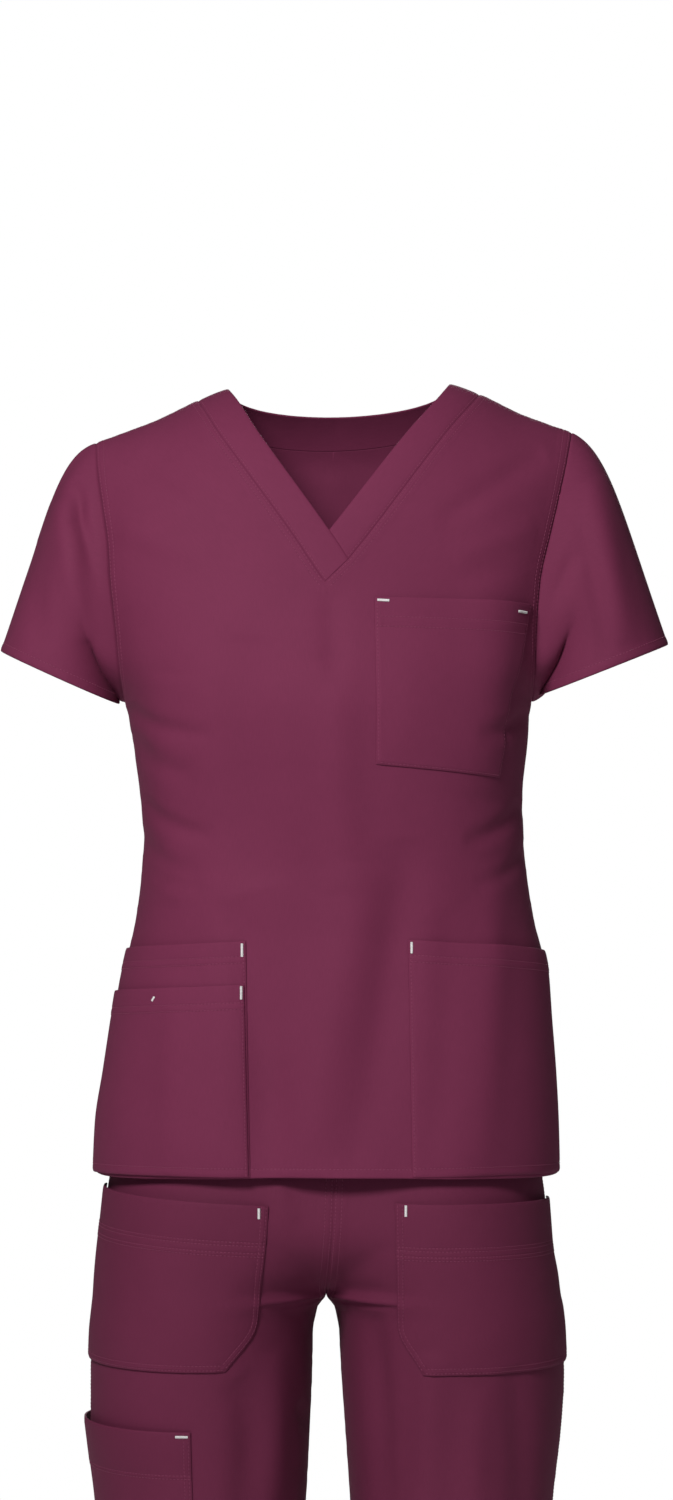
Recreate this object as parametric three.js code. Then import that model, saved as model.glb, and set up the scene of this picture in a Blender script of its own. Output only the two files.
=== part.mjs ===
// Medical scrubs: a V-neck tunic with short sleeves over straight trousers, worn and hollow.
// Millimetres, +Z up. The origin lies midway between the shoulders, level with the neck points.
// The front faces -Y and the wearer's left is +X. Side is -1 on the wearer's right and 1 on the
// left. Face is -1 in front and 1 behind.

import * as THREE from 'three';

const { clamp, degToRad, lerp, smoothstep } = THREE.MathUtils;

// Cloth
const CLOTH = 1.5;
const POCKET_CLOTH = 1.2;
const SEAM_GAP = 0.3;
const TUNIC_POCKET_LIFT = 0.6;
const LEG_POCKET_LIFT = 0.95;

// Tunic
const HEM_Z = -604.5;
const HEM_SIDE_DROP = 6;
const ARMPIT_Z = -245;
const SHOULDER_Z = -39;
const FRONT_ROUND = 95;
const BACK_ROUND = 70;
const FULLNESS = 0.18;
const SHOULDER_TILT = 0.022;
const TILT_START_Z = -250;
const TILT_FULL_Z = -40;

// Neckline, on the half away from the centre: the seam between the panels and the neckband, and
// the band's free edge
const NECK_SEAM_X = 110;
const NECK_EDGE_X = 86.5;
const V_SEAM_Z = -155;
const V_EDGE_Z = -115.5;
const LAP_X = 16.7;
const LAP_Z = -138;
const BACK_SEAM_Z = -44;
const BACK_EDGE_Z = -18;

// Trousers
const WAIST_TOP_Z = -462;
const WAIST_SEAM_Z = -497;
const CROTCH_Z = -706;
const CROTCH_Y = 8;
const RISE_START_Z = -638;
const CENTRE_FLATTENING = 0.98;
const LEG_MIDDLE_X = 60;
const KNEE_Z = -1030;
const ANKLE_Z = -1476;

// Handle of a cubic curve that draws a quarter round, as a share of its radius
const ROUND = 0.5523;

// Number of cells along each stretch of cloth
const LOWER_ROWS = 12;
const ARMHOLE_ROWS = 12;
const FRONT_COLUMNS = 11;
const BACK_COLUMNS = 9;
const SLEEVE_ROWS = 8;
const LEG_COLUMNS = 4;

// Sections of the tunic from the shoulders down: half widths at the side seams, or what they
// would be if there were no armholes, and depths in front and behind
const tunicSections = [
  { at: 20, halfRight: 216, halfLeft: 216, front: 66, back: 70 },
  { at: -39, halfRight: 205.6, halfLeft: 205.6, front: 80, back: 84 },
  { at: -65, halfRight: 201, halfLeft: 201, front: 86, back: 91 },
  { at: -95, halfRight: 194.4, halfLeft: 194.4, front: 95, back: 97 },
  { at: -120, halfRight: 189, halfLeft: 189, front: 101, back: 100 },
  { at: -150, halfRight: 182.9, halfLeft: 182.9, front: 108, back: 101 },
  { at: -190, halfRight: 174.6, halfLeft: 174.6, front: 118, back: 99 },
  { at: -215, halfRight: 169.3, halfLeft: 169.3, front: 123, back: 97 },
  { at: -245, halfRight: 158, halfLeft: 158, front: 126, back: 94 },
  { at: -280, halfRight: 151.5, halfLeft: 155, front: 123, back: 90 },
  { at: -317, halfRight: 146, halfLeft: 151.5, front: 117, back: 87 },
  { at: -350, halfRight: 143.6, halfLeft: 152.5, front: 112, back: 86 },
  { at: -376, halfRight: 145, halfLeft: 154.5, front: 110, back: 87 },
  { at: -415, halfRight: 150, halfLeft: 160.6, front: 110, back: 91 },
  { at: -454, halfRight: 159, halfLeft: 170, front: 113, back: 99 },
  { at: -493, halfRight: 166, halfLeft: 173, front: 117, back: 109 },
  { at: -532, halfRight: 172, halfLeft: 176, front: 121, back: 118 },
  { at: -571, halfRight: 178, halfLeft: 178, front: 124, back: 127 },
  { at: -612, halfRight: 180, halfLeft: 179, front: 126, back: 131 },
];

// The seam of the armhole: its distance from the centre
const armholeSeam = [
  { at: -39, x: 185 },
  { at: -65, x: 181 },
  { at: -95, x: 175 },
  { at: -120, x: 170 },
  { at: -150, x: 165.5 },
  { at: -190, x: 161.5 },
  { at: -215, x: 160 },
  { at: -235, x: 158.9 },
  { at: -245, x: 158 },
];

// The crest over the shoulders, carried on over the neck opening
const shoulderCrest = [
  { at: 0, z: 14 },
  { at: 60, z: 8 },
  { at: 86.5, z: 1 },
  { at: 100, z: -4 },
  { at: 117, z: -11 },
  { at: 142, z: -23 },
  { at: 166, z: -32 },
  { at: 185, z: -39 },
  { at: 205, z: -46 },
];

// How far the worn tunic sits towards the wearer's left at each height
const tunicSway = [
  { at: 15, x: 8.5 },
  { at: -5, x: 8.5 },
  { at: -40, x: 4.5 },
  { at: -117, x: 1 },
  { at: -155, x: -2 },
  { at: -250, x: 0 },
];

// Largest folds of the tunic: place across and width, heights of start and full depth
const tunicFolds = [
  { face: -1, x: -86, width: 26, startZ: -300, fullZ: -520, depth: 3.5 },
  { face: -1, x: -40, width: 24, startZ: -330, fullZ: -560, depth: -3 },
  { face: -1, x: 22, width: 30, startZ: -300, fullZ: -540, depth: 2.5 },
  { face: -1, x: 92, width: 28, startZ: -300, fullZ: -500, depth: 3.5 },
  { face: 1, x: -66, width: 26, startZ: -260, fullZ: -420, depth: 3 },
  { face: 1, x: 0, width: 34, startZ: -150, fullZ: -330, depth: -4 },
  { face: 1, x: 72, width: 26, startZ: -280, fullZ: -450, depth: 3.5 },
];

// Points of a row on the neck seam, as fractions of its way from the centre to the crest
const FRONT_NECK_STEPS = [0, 0.12, 0.3, 0.48, 0.64, 0.78, 0.885, 0.955, 1];
const BACK_NECK_STEPS = [0, 0.16, 0.32, 0.48, 0.63, 0.77, 0.89, 1];

// Hem of each sleeve: outer and inner end of its ring, and half its depth
const sleeveHems = {
  right: { outerX: 255, outerZ: -205, innerX: 162.5, innerZ: -246, halfDepth: 57, frontDip: 1 },
  left: { outerX: 265, outerZ: -200, innerX: 163.5, innerZ: -239.5, halfDepth: 59, frontDip: 0.5 },
};

// Directions and reaches with which a sleeve leaves the armhole and arrives at its hem, at the
// shoulder and under the arm
const SLEEVE_START = { shoulderSlope: -0.5, underarmSlope: 0.35, bulge: 0.25, reach: 32 };
const SLEEVE_END = { shoulderLean: 0.35, underarmLean: -0.15, shoulderReach: 108, underarmReach: 48 };

// Sections of the trousers from the waist down. outRight and outLeft are at the outer seams.
// The front and back columns are each leg's foremost and rearmost points.
const trouserSections = [
  { at: -462, outRight: 134, outLeft: 134, frontX: 58, front: 86, backX: 70, back: 80 },
  { at: -497, outRight: 142, outLeft: 142, frontX: 60, front: 93, backX: 72, back: 87 },
  { at: -560, outRight: 158, outLeft: 157, frontX: 62, front: 104, backX: 75, back: 106 },
  { at: -607, outRight: 169, outLeft: 166, frontX: 66, front: 110, backX: 78, back: 115 },
  { at: -638, outRight: 174, outLeft: 170, frontX: 74, front: 112, backX: 82, back: 116 },
  { at: -668, outRight: 178, outLeft: 173, frontX: 84, front: 111, backX: 88, back: 113 },
  { at: -690, outRight: 180, outLeft: 177, frontX: 91, front: 109, backX: 92, back: 108 },
  { at: -706, outRight: 181, outLeft: 179, frontX: 95, front: 108, backX: 95, back: 104 },
  { at: -715, outRight: 182, outLeft: 181, frontX: 97, front: 107, backX: 96, back: 101 },
  { at: -735, outRight: 184, outLeft: 183, frontX: 98, front: 105, backX: 98, back: 96 },
  { at: -770, outRight: 185, outLeft: 184, frontX: 99, front: 101, backX: 99, back: 89 },
  { at: -805, outRight: 185, outLeft: 182, frontX: 99, front: 97, backX: 99, back: 83 },
  { at: -863, outRight: 179, outLeft: 175.5, frontX: 98, front: 90, backX: 98, back: 77 },
  { at: -950, outRight: 171, outLeft: 168, frontX: 97, front: 80, backX: 97, back: 70 },
  { at: -1030, outRight: 167, outLeft: 165, frontX: 97, front: 72, backX: 97, back: 66 },
  { at: -1150, outRight: 165, outLeft: 164, frontX: 97, front: 65, backX: 97, back: 70 },
  { at: -1300, outRight: 165, outLeft: 164, frontX: 97, front: 65, backX: 97, back: 72 },
  { at: -1476, outRight: 167, outLeft: 166, frontX: 97, front: 69, backX: 97, back: 71 },
];

// The middle seam's place across, half the gap between the legs' inner seams, and how far a
// section runs straight on from its inner end, as a share of a quarter round
const innerSeams = [
  { at: -607, gap: 0, centre: 5, reach: 1 },
  { at: -638, gap: 0, centre: 4, reach: 1 },
  { at: -668, gap: 0, centre: 2, reach: 0.8 },
  { at: -690, gap: 0, centre: 0, reach: 0.35 },
  { at: -706, gap: 0, centre: -1.5, reach: 0 },
  { at: -715, gap: 6, centre: -1.5, reach: 0.35 },
  { at: -735, gap: 10, centre: -1.5, reach: 0.7 },
  { at: -770, gap: 11.5, centre: -1, reach: 0.9 },
  { at: -805, gap: 13.5, centre: -0.5, reach: 1 },
  { at: -863, gap: 17, centre: 0, reach: 1 },
  { at: -950, gap: 23, centre: 0, reach: 1 },
  { at: -1030, gap: 27, centre: 0, reach: 1 },
  { at: -1150, gap: 28, centre: 0, reach: 1 },
  { at: -1300, gap: 28, centre: 0, reach: 1 },
  { at: -1476, gap: 27, centre: 0, reach: 1 },
];

// Heights of the rows of a trouser panel, close together where the seat turns under
const RISE_ROWS = [-497, -535, -575, -610, -638, -662, -680, -693, -701, -705, -706];
const LEG_ROWS = [-711, -720, -737, -765, -805, -850, -910, -970, -1040, -1140, -1250, -1370, ANKLE_Z];

// Pockets of the tunic: the inner edge's distance from the centre, its angle round the body on
// the outer side, and the heights of its corners
const chestPocket = {
  side: 1,
  innerTopX: 37.5,
  innerBottomX: 36.5,
  outerAngle: 59,
  topInnerZ: -167,
  topOuterZ: -172,
  bottomInnerZ: -293,
  bottomOuterZ: -303,
  columns: 9,
  rows: 8,
};
const lowerPocketRight = {
  side: -1,
  innerTopX: 62.5,
  innerBottomX: 58.5,
  outerAngle: 89.5,
  topInnerZ: -427,
  topOuterZ: -438,
  columns: 11,
  rows: 11,
};
const lowerPocketRightOuter = {
  ...lowerPocketRight,
  innerTopX: 63.5,
  innerBottomX: 60,
  topInnerZ: -460,
  topOuterZ: -471,
  columns: 11,
  rows: 9,
};
const lowerPocketLeft = {
  side: 1,
  innerTopX: 61,
  innerBottomX: 64,
  outerAngle: 89.5,
  topInnerZ: -426,
  topOuterZ: -440,
  columns: 11,
  rows: 11,
};

// Pockets on the fronts of the trousers: the inner edge from the top down to the cut corner
const frontPocketRight = {
  side: -1,
  topInnerZ: -627.5,
  topOuterZ: -620,
  bottomZ: -754,
  innerEdge: [
    { at: -620, x: 44.5 },
    { at: -640, x: 45.3 },
    { at: -687, x: 50.6 },
    { at: -719, x: 54 },
    { at: -754, x: 78 },
  ],
};
const frontPocketLeft = {
  side: 1,
  topInnerZ: -625,
  topOuterZ: -630,
  bottomZ: -756,
  innerEdge: [
    { at: -620, x: 50.9 },
    { at: -640, x: 51.2 },
    { at: -687, x: 52.6 },
    { at: -721, x: 53.6 },
    { at: -756, x: 73 },
  ],
};
const LEG_POCKET_COLUMNS = 14;
const LEG_POCKET_ROWS = 7;

// Pocket on the side of the right thigh
const CARGO_TOP_Z = -800;
const CARGO_BOTTOM_Z = -985;
const CARGO_FRONT_X = 104;
const CARGO_BACK_TURN = 0.2;
const CARGO_COLUMNS = 12;
const CARGO_ROWS = 8;

// Value of a column of a table at a place between its rows, without overshoot
function read(table, column, place) {
  const last = table.length - 1;
  const way = Math.sign(table[last].at - table[0].at);
  if (way * (place - table[0].at) <= 0) return table[0][column];
  if (way * (place - table[last].at) >= 0) return table[last][column];
  let row = 0;
  while (way * (place - table[row + 1].at) > 0) row += 1;
  const slope = (from) => {
    const [start, end] = [table[from], table[from + 1]];
    return (end[column] - start[column]) / (end.at - start.at);
  };
  const mean = (a, b) => (a * b <= 0 ? 0 : (2 * a * b) / (a + b));
  const here = slope(row);
  const before = row > 0 ? mean(slope(row - 1), here) : here;
  const after = row + 1 < last ? mean(here, slope(row + 1)) : here;
  const span = table[row + 1].at - table[row].at;
  const t = (place - table[row].at) / span;
  const start = table[row][column];
  const end = table[row + 1][column];
  return (
    start * (1 + 2 * t) * (1 - t) ** 2 +
    end * (3 - 2 * t) * t ** 2 +
    span * (before * t * (1 - t) ** 2 - after * t ** 2 * (1 - t))
  );
}

// Sheets: a sheet is a list of points with outward normals, and of triangles
function emptySheet() {
  return { points: [], normals: [], faces: [], places: new Map() };
}

function addPoint(sheet, { point, normal }) {
  const key = point.toArray().map((value) => Math.round(value * 2000)).join();
  if (!sheet.places.has(key)) {
    sheet.places.set(key, sheet.points.length);
    sheet.points.push(point);
    sheet.normals.push(normal);
  }
  return sheet.places.get(key);
}

// Twice a face's area, along its normal
function faceArea(sheet, face) {
  const [p, q, r] = face.map((index) => sheet.points[index]);
  return new THREE.Vector3().crossVectors(q.clone().sub(p), r.clone().sub(p));
}

// A grid of cells, each cut along its shorter diagonal. skinAt gives a point and its normal.
function addGrid(sheet, rows, columns, skinAt) {
  const grid = [];
  for (let i = 0; i <= rows; i += 1) {
    const line = [];
    for (let j = 0; j <= columns; j += 1) line.push(addPoint(sheet, skinAt(i, j)));
    grid.push(line);
  }
  const faces = [];
  for (let i = 0; i < rows; i += 1) {
    for (let j = 0; j < columns; j += 1) {
      const [a, b, c, d] = [grid[i][j], grid[i][j + 1], grid[i + 1][j + 1], grid[i + 1][j]];
      const [p, q, r, s] = [a, b, c, d].map((index) => sheet.points[index]);
      if (p.distanceTo(r) <= q.distanceTo(s)) faces.push([a, b, c], [a, c, d]);
      else faces.push([a, b, d], [b, c, d]);
    }
  }
  const sound = faces.filter(([a, b, c]) => a !== b && b !== c && c !== a);
  const agreement = sound.reduce((sum, face) => sum + faceArea(sheet, face).dot(sheet.normals[face[0]]), 0);
  sheet.faces.push(...sound.map(([a, b, c]) => (agreement > 0 ? [a, b, c] : [a, c, b])));
  return sheet;
}

// Normals from the faces of all sheets that belong to one skin, so that neighbours meet evenly
function shareNormals(sheets) {
  const sums = new Map();
  for (const sheet of sheets) {
    sheet.keys = sheet.points.map((point) => point.toArray().map((value) => Math.round(value * 50)).join());
    for (const face of sheet.faces) {
      const area = faceArea(sheet, face);
      for (const index of face) {
        const key = sheet.keys[index];
        if (!sums.has(key)) sums.set(key, new THREE.Vector3());
        sums.get(key).add(area);
      }
    }
  }
  for (const sheet of sheets) {
    sheet.normals = sheet.keys.map((key) => sums.get(key).clone().normalize());
  }
}

// A closed wall: the sheet outside, its copy one thickness inwards, and strips along all edges
function wall(sheet, thickness, lift = 0) {
  const count = sheet.points.length;
  const positions = [];
  for (const depth of [lift, lift - thickness]) {
    sheet.points.forEach((point, index) => {
      positions.push(...point.clone().addScaledVector(sheet.normals[index], depth).toArray());
    });
  }
  const edges = new Set();
  for (const [a, b, c] of sheet.faces) {
    for (const [from, to] of [[a, b], [b, c], [c, a]]) edges.add(`${from},${to}`);
  }
  const indices = [];
  for (const [a, b, c] of sheet.faces) {
    indices.push(a, b, c, a + count, c + count, b + count);
    for (const [from, to] of [[a, b], [b, c], [c, a]]) {
      if (edges.has(`${to},${from}`)) continue;
      indices.push(to, from, from + count, to, from + count, to + count);
    }
  }
  const geometry = new THREE.BufferGeometry();
  geometry.setAttribute('position', new THREE.Float32BufferAttribute(positions, 3));
  geometry.setIndex(indices);
  geometry.computeVertexNormals();
  return geometry;
}

// Tunic skin

function crestZ(x) {
  return read(shoulderCrest, 'z', Math.abs(x));
}

function foldDepth(face, x, z) {
  let depth = 0;
  for (const fold of tunicFolds) {
    if (fold.face !== face) continue;
    const across = (x - fold.x) / fold.width;
    depth += fold.depth * Math.exp(-across * across) * smoothstep(-z, -fold.startZ, -fold.fullZ);
  }
  return depth;
}

function tunicHalf(side, z) {
  return read(tunicSections, side < 0 ? 'halfRight' : 'halfLeft', z);
}

function tunicDepth(face, x, z) {
  return read(tunicSections, face < 0 ? 'front' : 'back', z) + foldDepth(face, x, z);
}

// How far a place lies under the crest, as 1 at the crest and 0 where the body hangs upright
function underCrest(face, x, z) {
  const round = face < 0 ? FRONT_ROUND : BACK_ROUND;
  return Math.max(1 - (crestZ(x) - z) / round, 0);
}

// Zero on the skin of the tunic, more outside it
function tunicField(side, face, point) {
  const share = point.x / tunicHalf(side, point.z);
  const depth = tunicDepth(face, point.x, point.z) * (1 + FULLNESS * share * share);
  const over = underCrest(face, point.x, point.z);
  return (point.y / depth) ** 2 - (1 - share * share) * (1 - over * over);
}

function tunicNormal(side, face, point) {
  const step = 0.05;
  const slope = (axis) => {
    const ahead = point.clone();
    const behind = point.clone();
    ahead[axis] += step;
    behind[axis] -= step;
    return tunicField(side, face, ahead) - tunicField(side, face, behind);
  };
  return new THREE.Vector3(slope('x'), slope('y'), slope('z')).normalize();
}

// The worn tunic sits a little to the left at the neck, with the left shoulder higher
function settle(point) {
  const tilt = smoothstep(point.z, TILT_START_Z, TILT_FULL_Z) * SHOULDER_TILT;
  const sway = read(tunicSway, 'x', point.z);
  return new THREE.Vector3(point.x + sway, point.y, point.z + tilt * point.x);
}

// Skin of the tunic at a distance from the centre and a height. Front and back are parted by
// a seam's gap.
function tunicSkin(side, face, x, z) {
  const share = clamp(x / tunicHalf(side, z), -1, 1);
  const over = Math.min(underCrest(face, side * x, z), 1);
  const depth = tunicDepth(face, side * x, z) * (1 + FULLNESS * share * share);
  const y = face * depth * Math.sqrt((1 - share * share) * (1 - over * over));
  const point = new THREE.Vector3(side * x, y, z);
  const normal = tunicNormal(side, face, point);
  point.y += (face * SEAM_GAP) / 2;
  return { point: settle(point), normal };
}

// Neckline, as a distance from the centre and a height

function frontNeckSeam(side, way) {
  const lap = FRONT_NECK_STEPS[1];
  if (side > 0 && way <= lap) return { x: (LAP_X * way) / lap, z: lerp(V_SEAM_Z, LAP_Z, way / lap) };
  if (side > 0) {
    const rest = (way - lap) / (1 - lap);
    return { x: lerp(LAP_X, NECK_SEAM_X, rest), z: lerp(LAP_Z, crestZ(NECK_SEAM_X), rest) };
  }
  return { x: NECK_SEAM_X * way, z: lerp(V_SEAM_Z, crestZ(NECK_SEAM_X), way) };
}

function backNeckSeam(side, way) {
  const turn = (way * Math.PI) / 2;
  return { x: NECK_SEAM_X * Math.sin(turn), z: lerp(crestZ(NECK_SEAM_X), BACK_SEAM_Z, Math.cos(turn)) };
}

function backNeckEdge(way) {
  const turn = (way * Math.PI) / 2;
  return { x: NECK_EDGE_X * Math.sin(turn), z: lerp(crestZ(NECK_EDGE_X), BACK_EDGE_Z, Math.cos(turn)) };
}

// The armhole's seam at a turn of 0 under the arm to half a circle at the shoulder
function armhole(turn) {
  const middle = (ARMPIT_Z + SHOULDER_Z) / 2;
  const half = (SHOULDER_Z - ARMPIT_Z) / 2;
  const z = middle - half * Math.cos(turn);
  return { x: read(armholeSeam, 'x', z), z };
}

// Rows of a half panel: rows up to the armpit, then rows fanning out from the centre line and
// the neck seam to the armhole
function panelSkin(side, face, row, across) {
  const steps = face < 0 ? FRONT_NECK_STEPS : BACK_NECK_STEPS;
  const neckSeam = face < 0 ? frontNeckSeam : backNeckSeam;
  const centreTop = face < 0 ? V_SEAM_Z : BACK_SEAM_Z;
  const centreRows = ARMHOLE_ROWS - (steps.length - 1);
  if (row <= LOWER_ROWS) {
    const angle = (across * Math.PI) / 2;
    const hem = HEM_Z - HEM_SIDE_DROP * Math.sin(angle) ** 2;
    const z = lerp(hem, ARMPIT_Z, row / LOWER_ROWS);
    return tunicSkin(side, face, tunicHalf(side, z) * Math.sin(angle), z);
  }
  const upper = row - LOWER_ROWS;
  const inner =
    upper <= centreRows
      ? { x: 0, z: lerp(ARMPIT_Z, centreTop, upper / centreRows) }
      : neckSeam(side, steps[upper - centreRows]);
  const outer = armhole((upper * Math.PI) / ARMHOLE_ROWS);
  if (across === 0) return tunicSkin(side, face, inner.x, inner.z);
  if (across === 1) return tunicSkin(side, face, outer.x, outer.z);
  const level = lerp(inner.z, outer.z, across);
  const innerAngle = Math.asin(inner.x / tunicHalf(side, inner.z));
  const outerAngle = Math.asin(Math.min(outer.x / tunicHalf(side, outer.z), 1));
  const x = tunicHalf(side, level) * Math.sin(lerp(innerAngle, outerAngle, across));
  const underInner = crestZ(inner.x) - inner.z;
  const underOuter = crestZ(outer.x) - outer.z;
  const hung = crestZ(x) - lerp(underInner, underOuter, across);
  return tunicSkin(side, face, x, lerp(level, hung, upper / ARMHOLE_ROWS));
}

function tunicPanel(face, columns) {
  const sheet = emptySheet();
  for (const side of [-1, 1]) {
    addGrid(sheet, LOWER_ROWS + ARMHOLE_ROWS, columns, (i, j) => panelSkin(side, face, i, j / columns));
  }
  return wall(sheet, CLOTH);
}

// Neckband strips, from the neck seam to the free edge, kept a gap off the panels and each other

function bandStrip(face, sideOf, seamAt, edgeAt, steps) {
  const width = Math.hypot(NECK_SEAM_X - NECK_EDGE_X, crestZ(NECK_SEAM_X) - crestZ(NECK_EDGE_X));
  const start = SEAM_GAP / width;
  const columns = 2;
  return wall(
    addGrid(emptySheet(), steps.length - 1, columns, (i, j) => {
      const seam = seamAt(steps[i]);
      const edge = edgeAt(steps[i]);
      const across = lerp(start, 1, j / columns);
      const x = lerp(seam.x, edge.x, across);
      const under = lerp(crestZ(seam.x) - seam.z, crestZ(edge.x) - edge.z, across);
      return tunicSkin(sideOf(steps[i]), face, x, crestZ(x) - under);
    }),
    CLOTH,
  );
}

function frontBand(side) {
  const lap = FRONT_NECK_STEPS[1];
  const endGap = SEAM_GAP / Math.hypot(NECK_SEAM_X, crestZ(NECK_SEAM_X) - V_SEAM_Z);
  const firstStep = side < 0 ? endGap : lap + endGap;
  const steps = [firstStep, ...FRONT_NECK_STEPS.slice(side < 0 ? 1 : 2)];
  const end = side < 0 ? { x: -LAP_X, z: LAP_Z } : { x: 0, z: V_EDGE_Z };
  const endStep = side < 0 ? 0 : lap;
  const edgeAt = (way) => {
    const share = (way - endStep) / (1 - endStep);
    return { x: lerp(end.x, NECK_EDGE_X, share), z: lerp(end.z, crestZ(NECK_EDGE_X), share) };
  };
  return bandStrip(-1, () => side, (way) => frontNeckSeam(side, way), edgeAt, steps);
}

function backBand() {
  const rightSteps = BACK_NECK_STEPS.slice(1).reverse().map((step) => -step);
  const steps = [...rightSteps, ...BACK_NECK_STEPS];
  const sideOf = (way) => (way < 0 ? -1 : 1);
  const seamAt = (way) => backNeckSeam(1, Math.abs(way));
  return bandStrip(1, sideOf, seamAt, (way) => backNeckEdge(Math.abs(way)), steps);
}

// Sleeves: curves from the armhole's seam to a tilted hem ring, ring places counted from under
// the arm over the front to the shoulder and back behind

function sleeveCurve(side, place) {
  const hem = side < 0 ? sleeveHems.right : sleeveHems.left;
  const turn = (place * Math.PI) / ARMHOLE_ROWS;
  const face = place <= ARMHOLE_ROWS ? -1 : 1;
  const frontTurn = place <= ARMHOLE_ROWS ? turn : 2 * Math.PI - turn;
  const seam = armhole(frontTurn);
  const start = tunicSkin(side, face, seam.x, seam.z);
  const up = (1 - Math.cos(turn)) / 2;
  const towardFront = Math.sin(turn);
  const out = new THREE.Vector3(
    side,
    -SLEEVE_START.bulge * towardFront,
    lerp(SLEEVE_START.underarmSlope, SLEEVE_START.shoulderSlope, up),
  ).normalize();
  const dive = Math.min(out.dot(start.normal), 0);
  out.addScaledVector(start.normal, -dive).normalize();
  const endLean = lerp(SLEEVE_END.underarmLean, SLEEVE_END.shoulderLean, up);
  const down = new THREE.Vector3(side * endLean, 0, -1).normalize();
  const end = new THREE.Vector3(
    side * lerp(hem.innerX, hem.outerX, up),
    -hem.halfDepth * towardFront,
    lerp(hem.innerZ, hem.outerZ, up) - hem.frontDip * Math.max(towardFront, 0),
  );
  const from = start.point.clone();
  from.x += side * SEAM_GAP * 1.2;
  from.y -= (face * SEAM_GAP) / 2;
  const endReach = lerp(SLEEVE_END.underarmReach, SLEEVE_END.shoulderReach, up);
  return new THREE.CubicBezierCurve3(
    from,
    from.clone().addScaledVector(out, SLEEVE_START.reach),
    end.clone().addScaledVector(down, -endReach),
    end,
  );
}

function sleeve(side) {
  const around = 2 * ARMHOLE_ROWS;
  const curves = [];
  for (let place = 0; place < around; place += 1) curves.push(sleeveCurve(side, place));
  const ringPoint = (place, way) => curves[(place + around) % around].getPoint(way);
  const sheet = addGrid(emptySheet(), SLEEVE_ROWS, around, (i, j) => {
    const way = i / SLEEVE_ROWS;
    const point = ringPoint(j, way);
    const along = curves[j % around].getTangent(way);
    const round = ringPoint(j + 1, way).sub(ringPoint(j - 1, way));
    const normal = new THREE.Vector3().crossVectors(along, round).multiplyScalar(side).normalize();
    return { point, normal };
  });
  return wall(sheet, CLOTH);
}

// A patch pocket on the tunic, from the points of its skin

function tunicPocket(pocket, layersBelow) {
  const outerAngle = degToRad(pocket.outerAngle);
  const sheet = addGrid(emptySheet(), pocket.rows, pocket.columns, (i, j) => {
    const down = i / pocket.rows;
    const across = j / pocket.columns;
    const top = lerp(pocket.topInnerZ, pocket.topOuterZ, across);
    const hem = HEM_Z - HEM_SIDE_DROP * across ** 2;
    const bottom = 'bottomInnerZ' in pocket ? lerp(pocket.bottomInnerZ, pocket.bottomOuterZ, across) : hem;
    const z = lerp(top, bottom, down);
    const half = tunicHalf(pocket.side, z);
    const innerAngle = Math.asin(lerp(pocket.innerTopX, pocket.innerBottomX, down) / half);
    return tunicSkin(pocket.side, -1, half * Math.sin(lerp(innerAngle, outerAngle, across)), z);
  });
  const layer = TUNIC_POCKET_LIFT + POCKET_CLOTH;
  return wall(sheet, POCKET_CLOTH, layer * (layersBelow + 1));
}

// Trouser skin

// Depth of the middle seam in front or behind, turning under to the crotch point
function middleSeamY(face, z) {
  const column = face < 0 ? 'front' : 'back';
  const full = read(trouserSections, column, Math.max(z, RISE_START_Z)) * CENTRE_FLATTENING;
  if (z >= RISE_START_Z) return face * full;
  const way = clamp((RISE_START_Z - z) / (RISE_START_Z - CROTCH_Z), 0, 1);
  return lerp(CROTCH_Y, face * full, Math.sqrt(1 - way * way));
}

// A point of a leg's skin. turn runs from -1 at the front's inner edge over 0 at the outer seam
// to 1 at the back's inner edge.
function legPoint(side, turn, z) {
  const face = turn < 0 ? -1 : 1;
  const get = (column) => read(trouserSections, column, z);
  const centre = read(innerSeams, 'centre', z);
  const aboveCrotch = z >= CROTCH_Z;
  const innerY = aboveCrotch ? middleSeamY(face, z) : CROTCH_Y * (1 - smoothstep(-z, -CROTCH_Z, -KNEE_Z));
  const inner = new THREE.Vector2(centre + side * read(innerSeams, 'gap', z), innerY);
  const crown = new THREE.Vector2(
    centre / 2 + side * get(face < 0 ? 'frontX' : 'backX'),
    face * get(face < 0 ? 'front' : 'back'),
  );
  const outer = new THREE.Vector2(side * get(side < 0 ? 'outRight' : 'outLeft'), 0);
  const width = Math.abs(crown.x - inner.x);
  const height = Math.abs(crown.y - inner.y);
  const reach = read(innerSeams, 'reach', z) * ROUND;
  const innerHandle = aboveCrotch
    ? new THREE.Vector2(side * width * reach, 0)
    : new THREE.Vector2(0, face * height * reach);
  const way = Math.abs(turn);
  const point = new THREE.Vector2();
  if (way > 0.5) {
    const fromInner = inner.clone().add(innerHandle);
    const toCrown = new THREE.Vector2(crown.x - side * width * ROUND, crown.y);
    new THREE.CubicBezierCurve(inner, fromInner, toCrown, crown).getPoint((1 - way) * 2, point);
  } else {
    const fromCrown = new THREE.Vector2(lerp(crown.x, outer.x, ROUND), crown.y);
    const toOuter = new THREE.Vector2(outer.x, crown.y * ROUND);
    new THREE.CubicBezierCurve(crown, fromCrown, toOuter, outer).getPoint(1 - way * 2, point);
  }
  return new THREE.Vector3(point.x, point.y, z);
}

function legSkin(side, turn, z) {
  const step = 0.004;
  const around = legPoint(side, turn + step, z).sub(legPoint(side, turn - step, z));
  const along = legPoint(side, turn, z + 1).sub(legPoint(side, turn, z - 1));
  const normal = new THREE.Vector3().crossVectors(around, along).multiplyScalar(side).normalize();
  return { point: legPoint(side, turn, z), normal };
}

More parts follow.
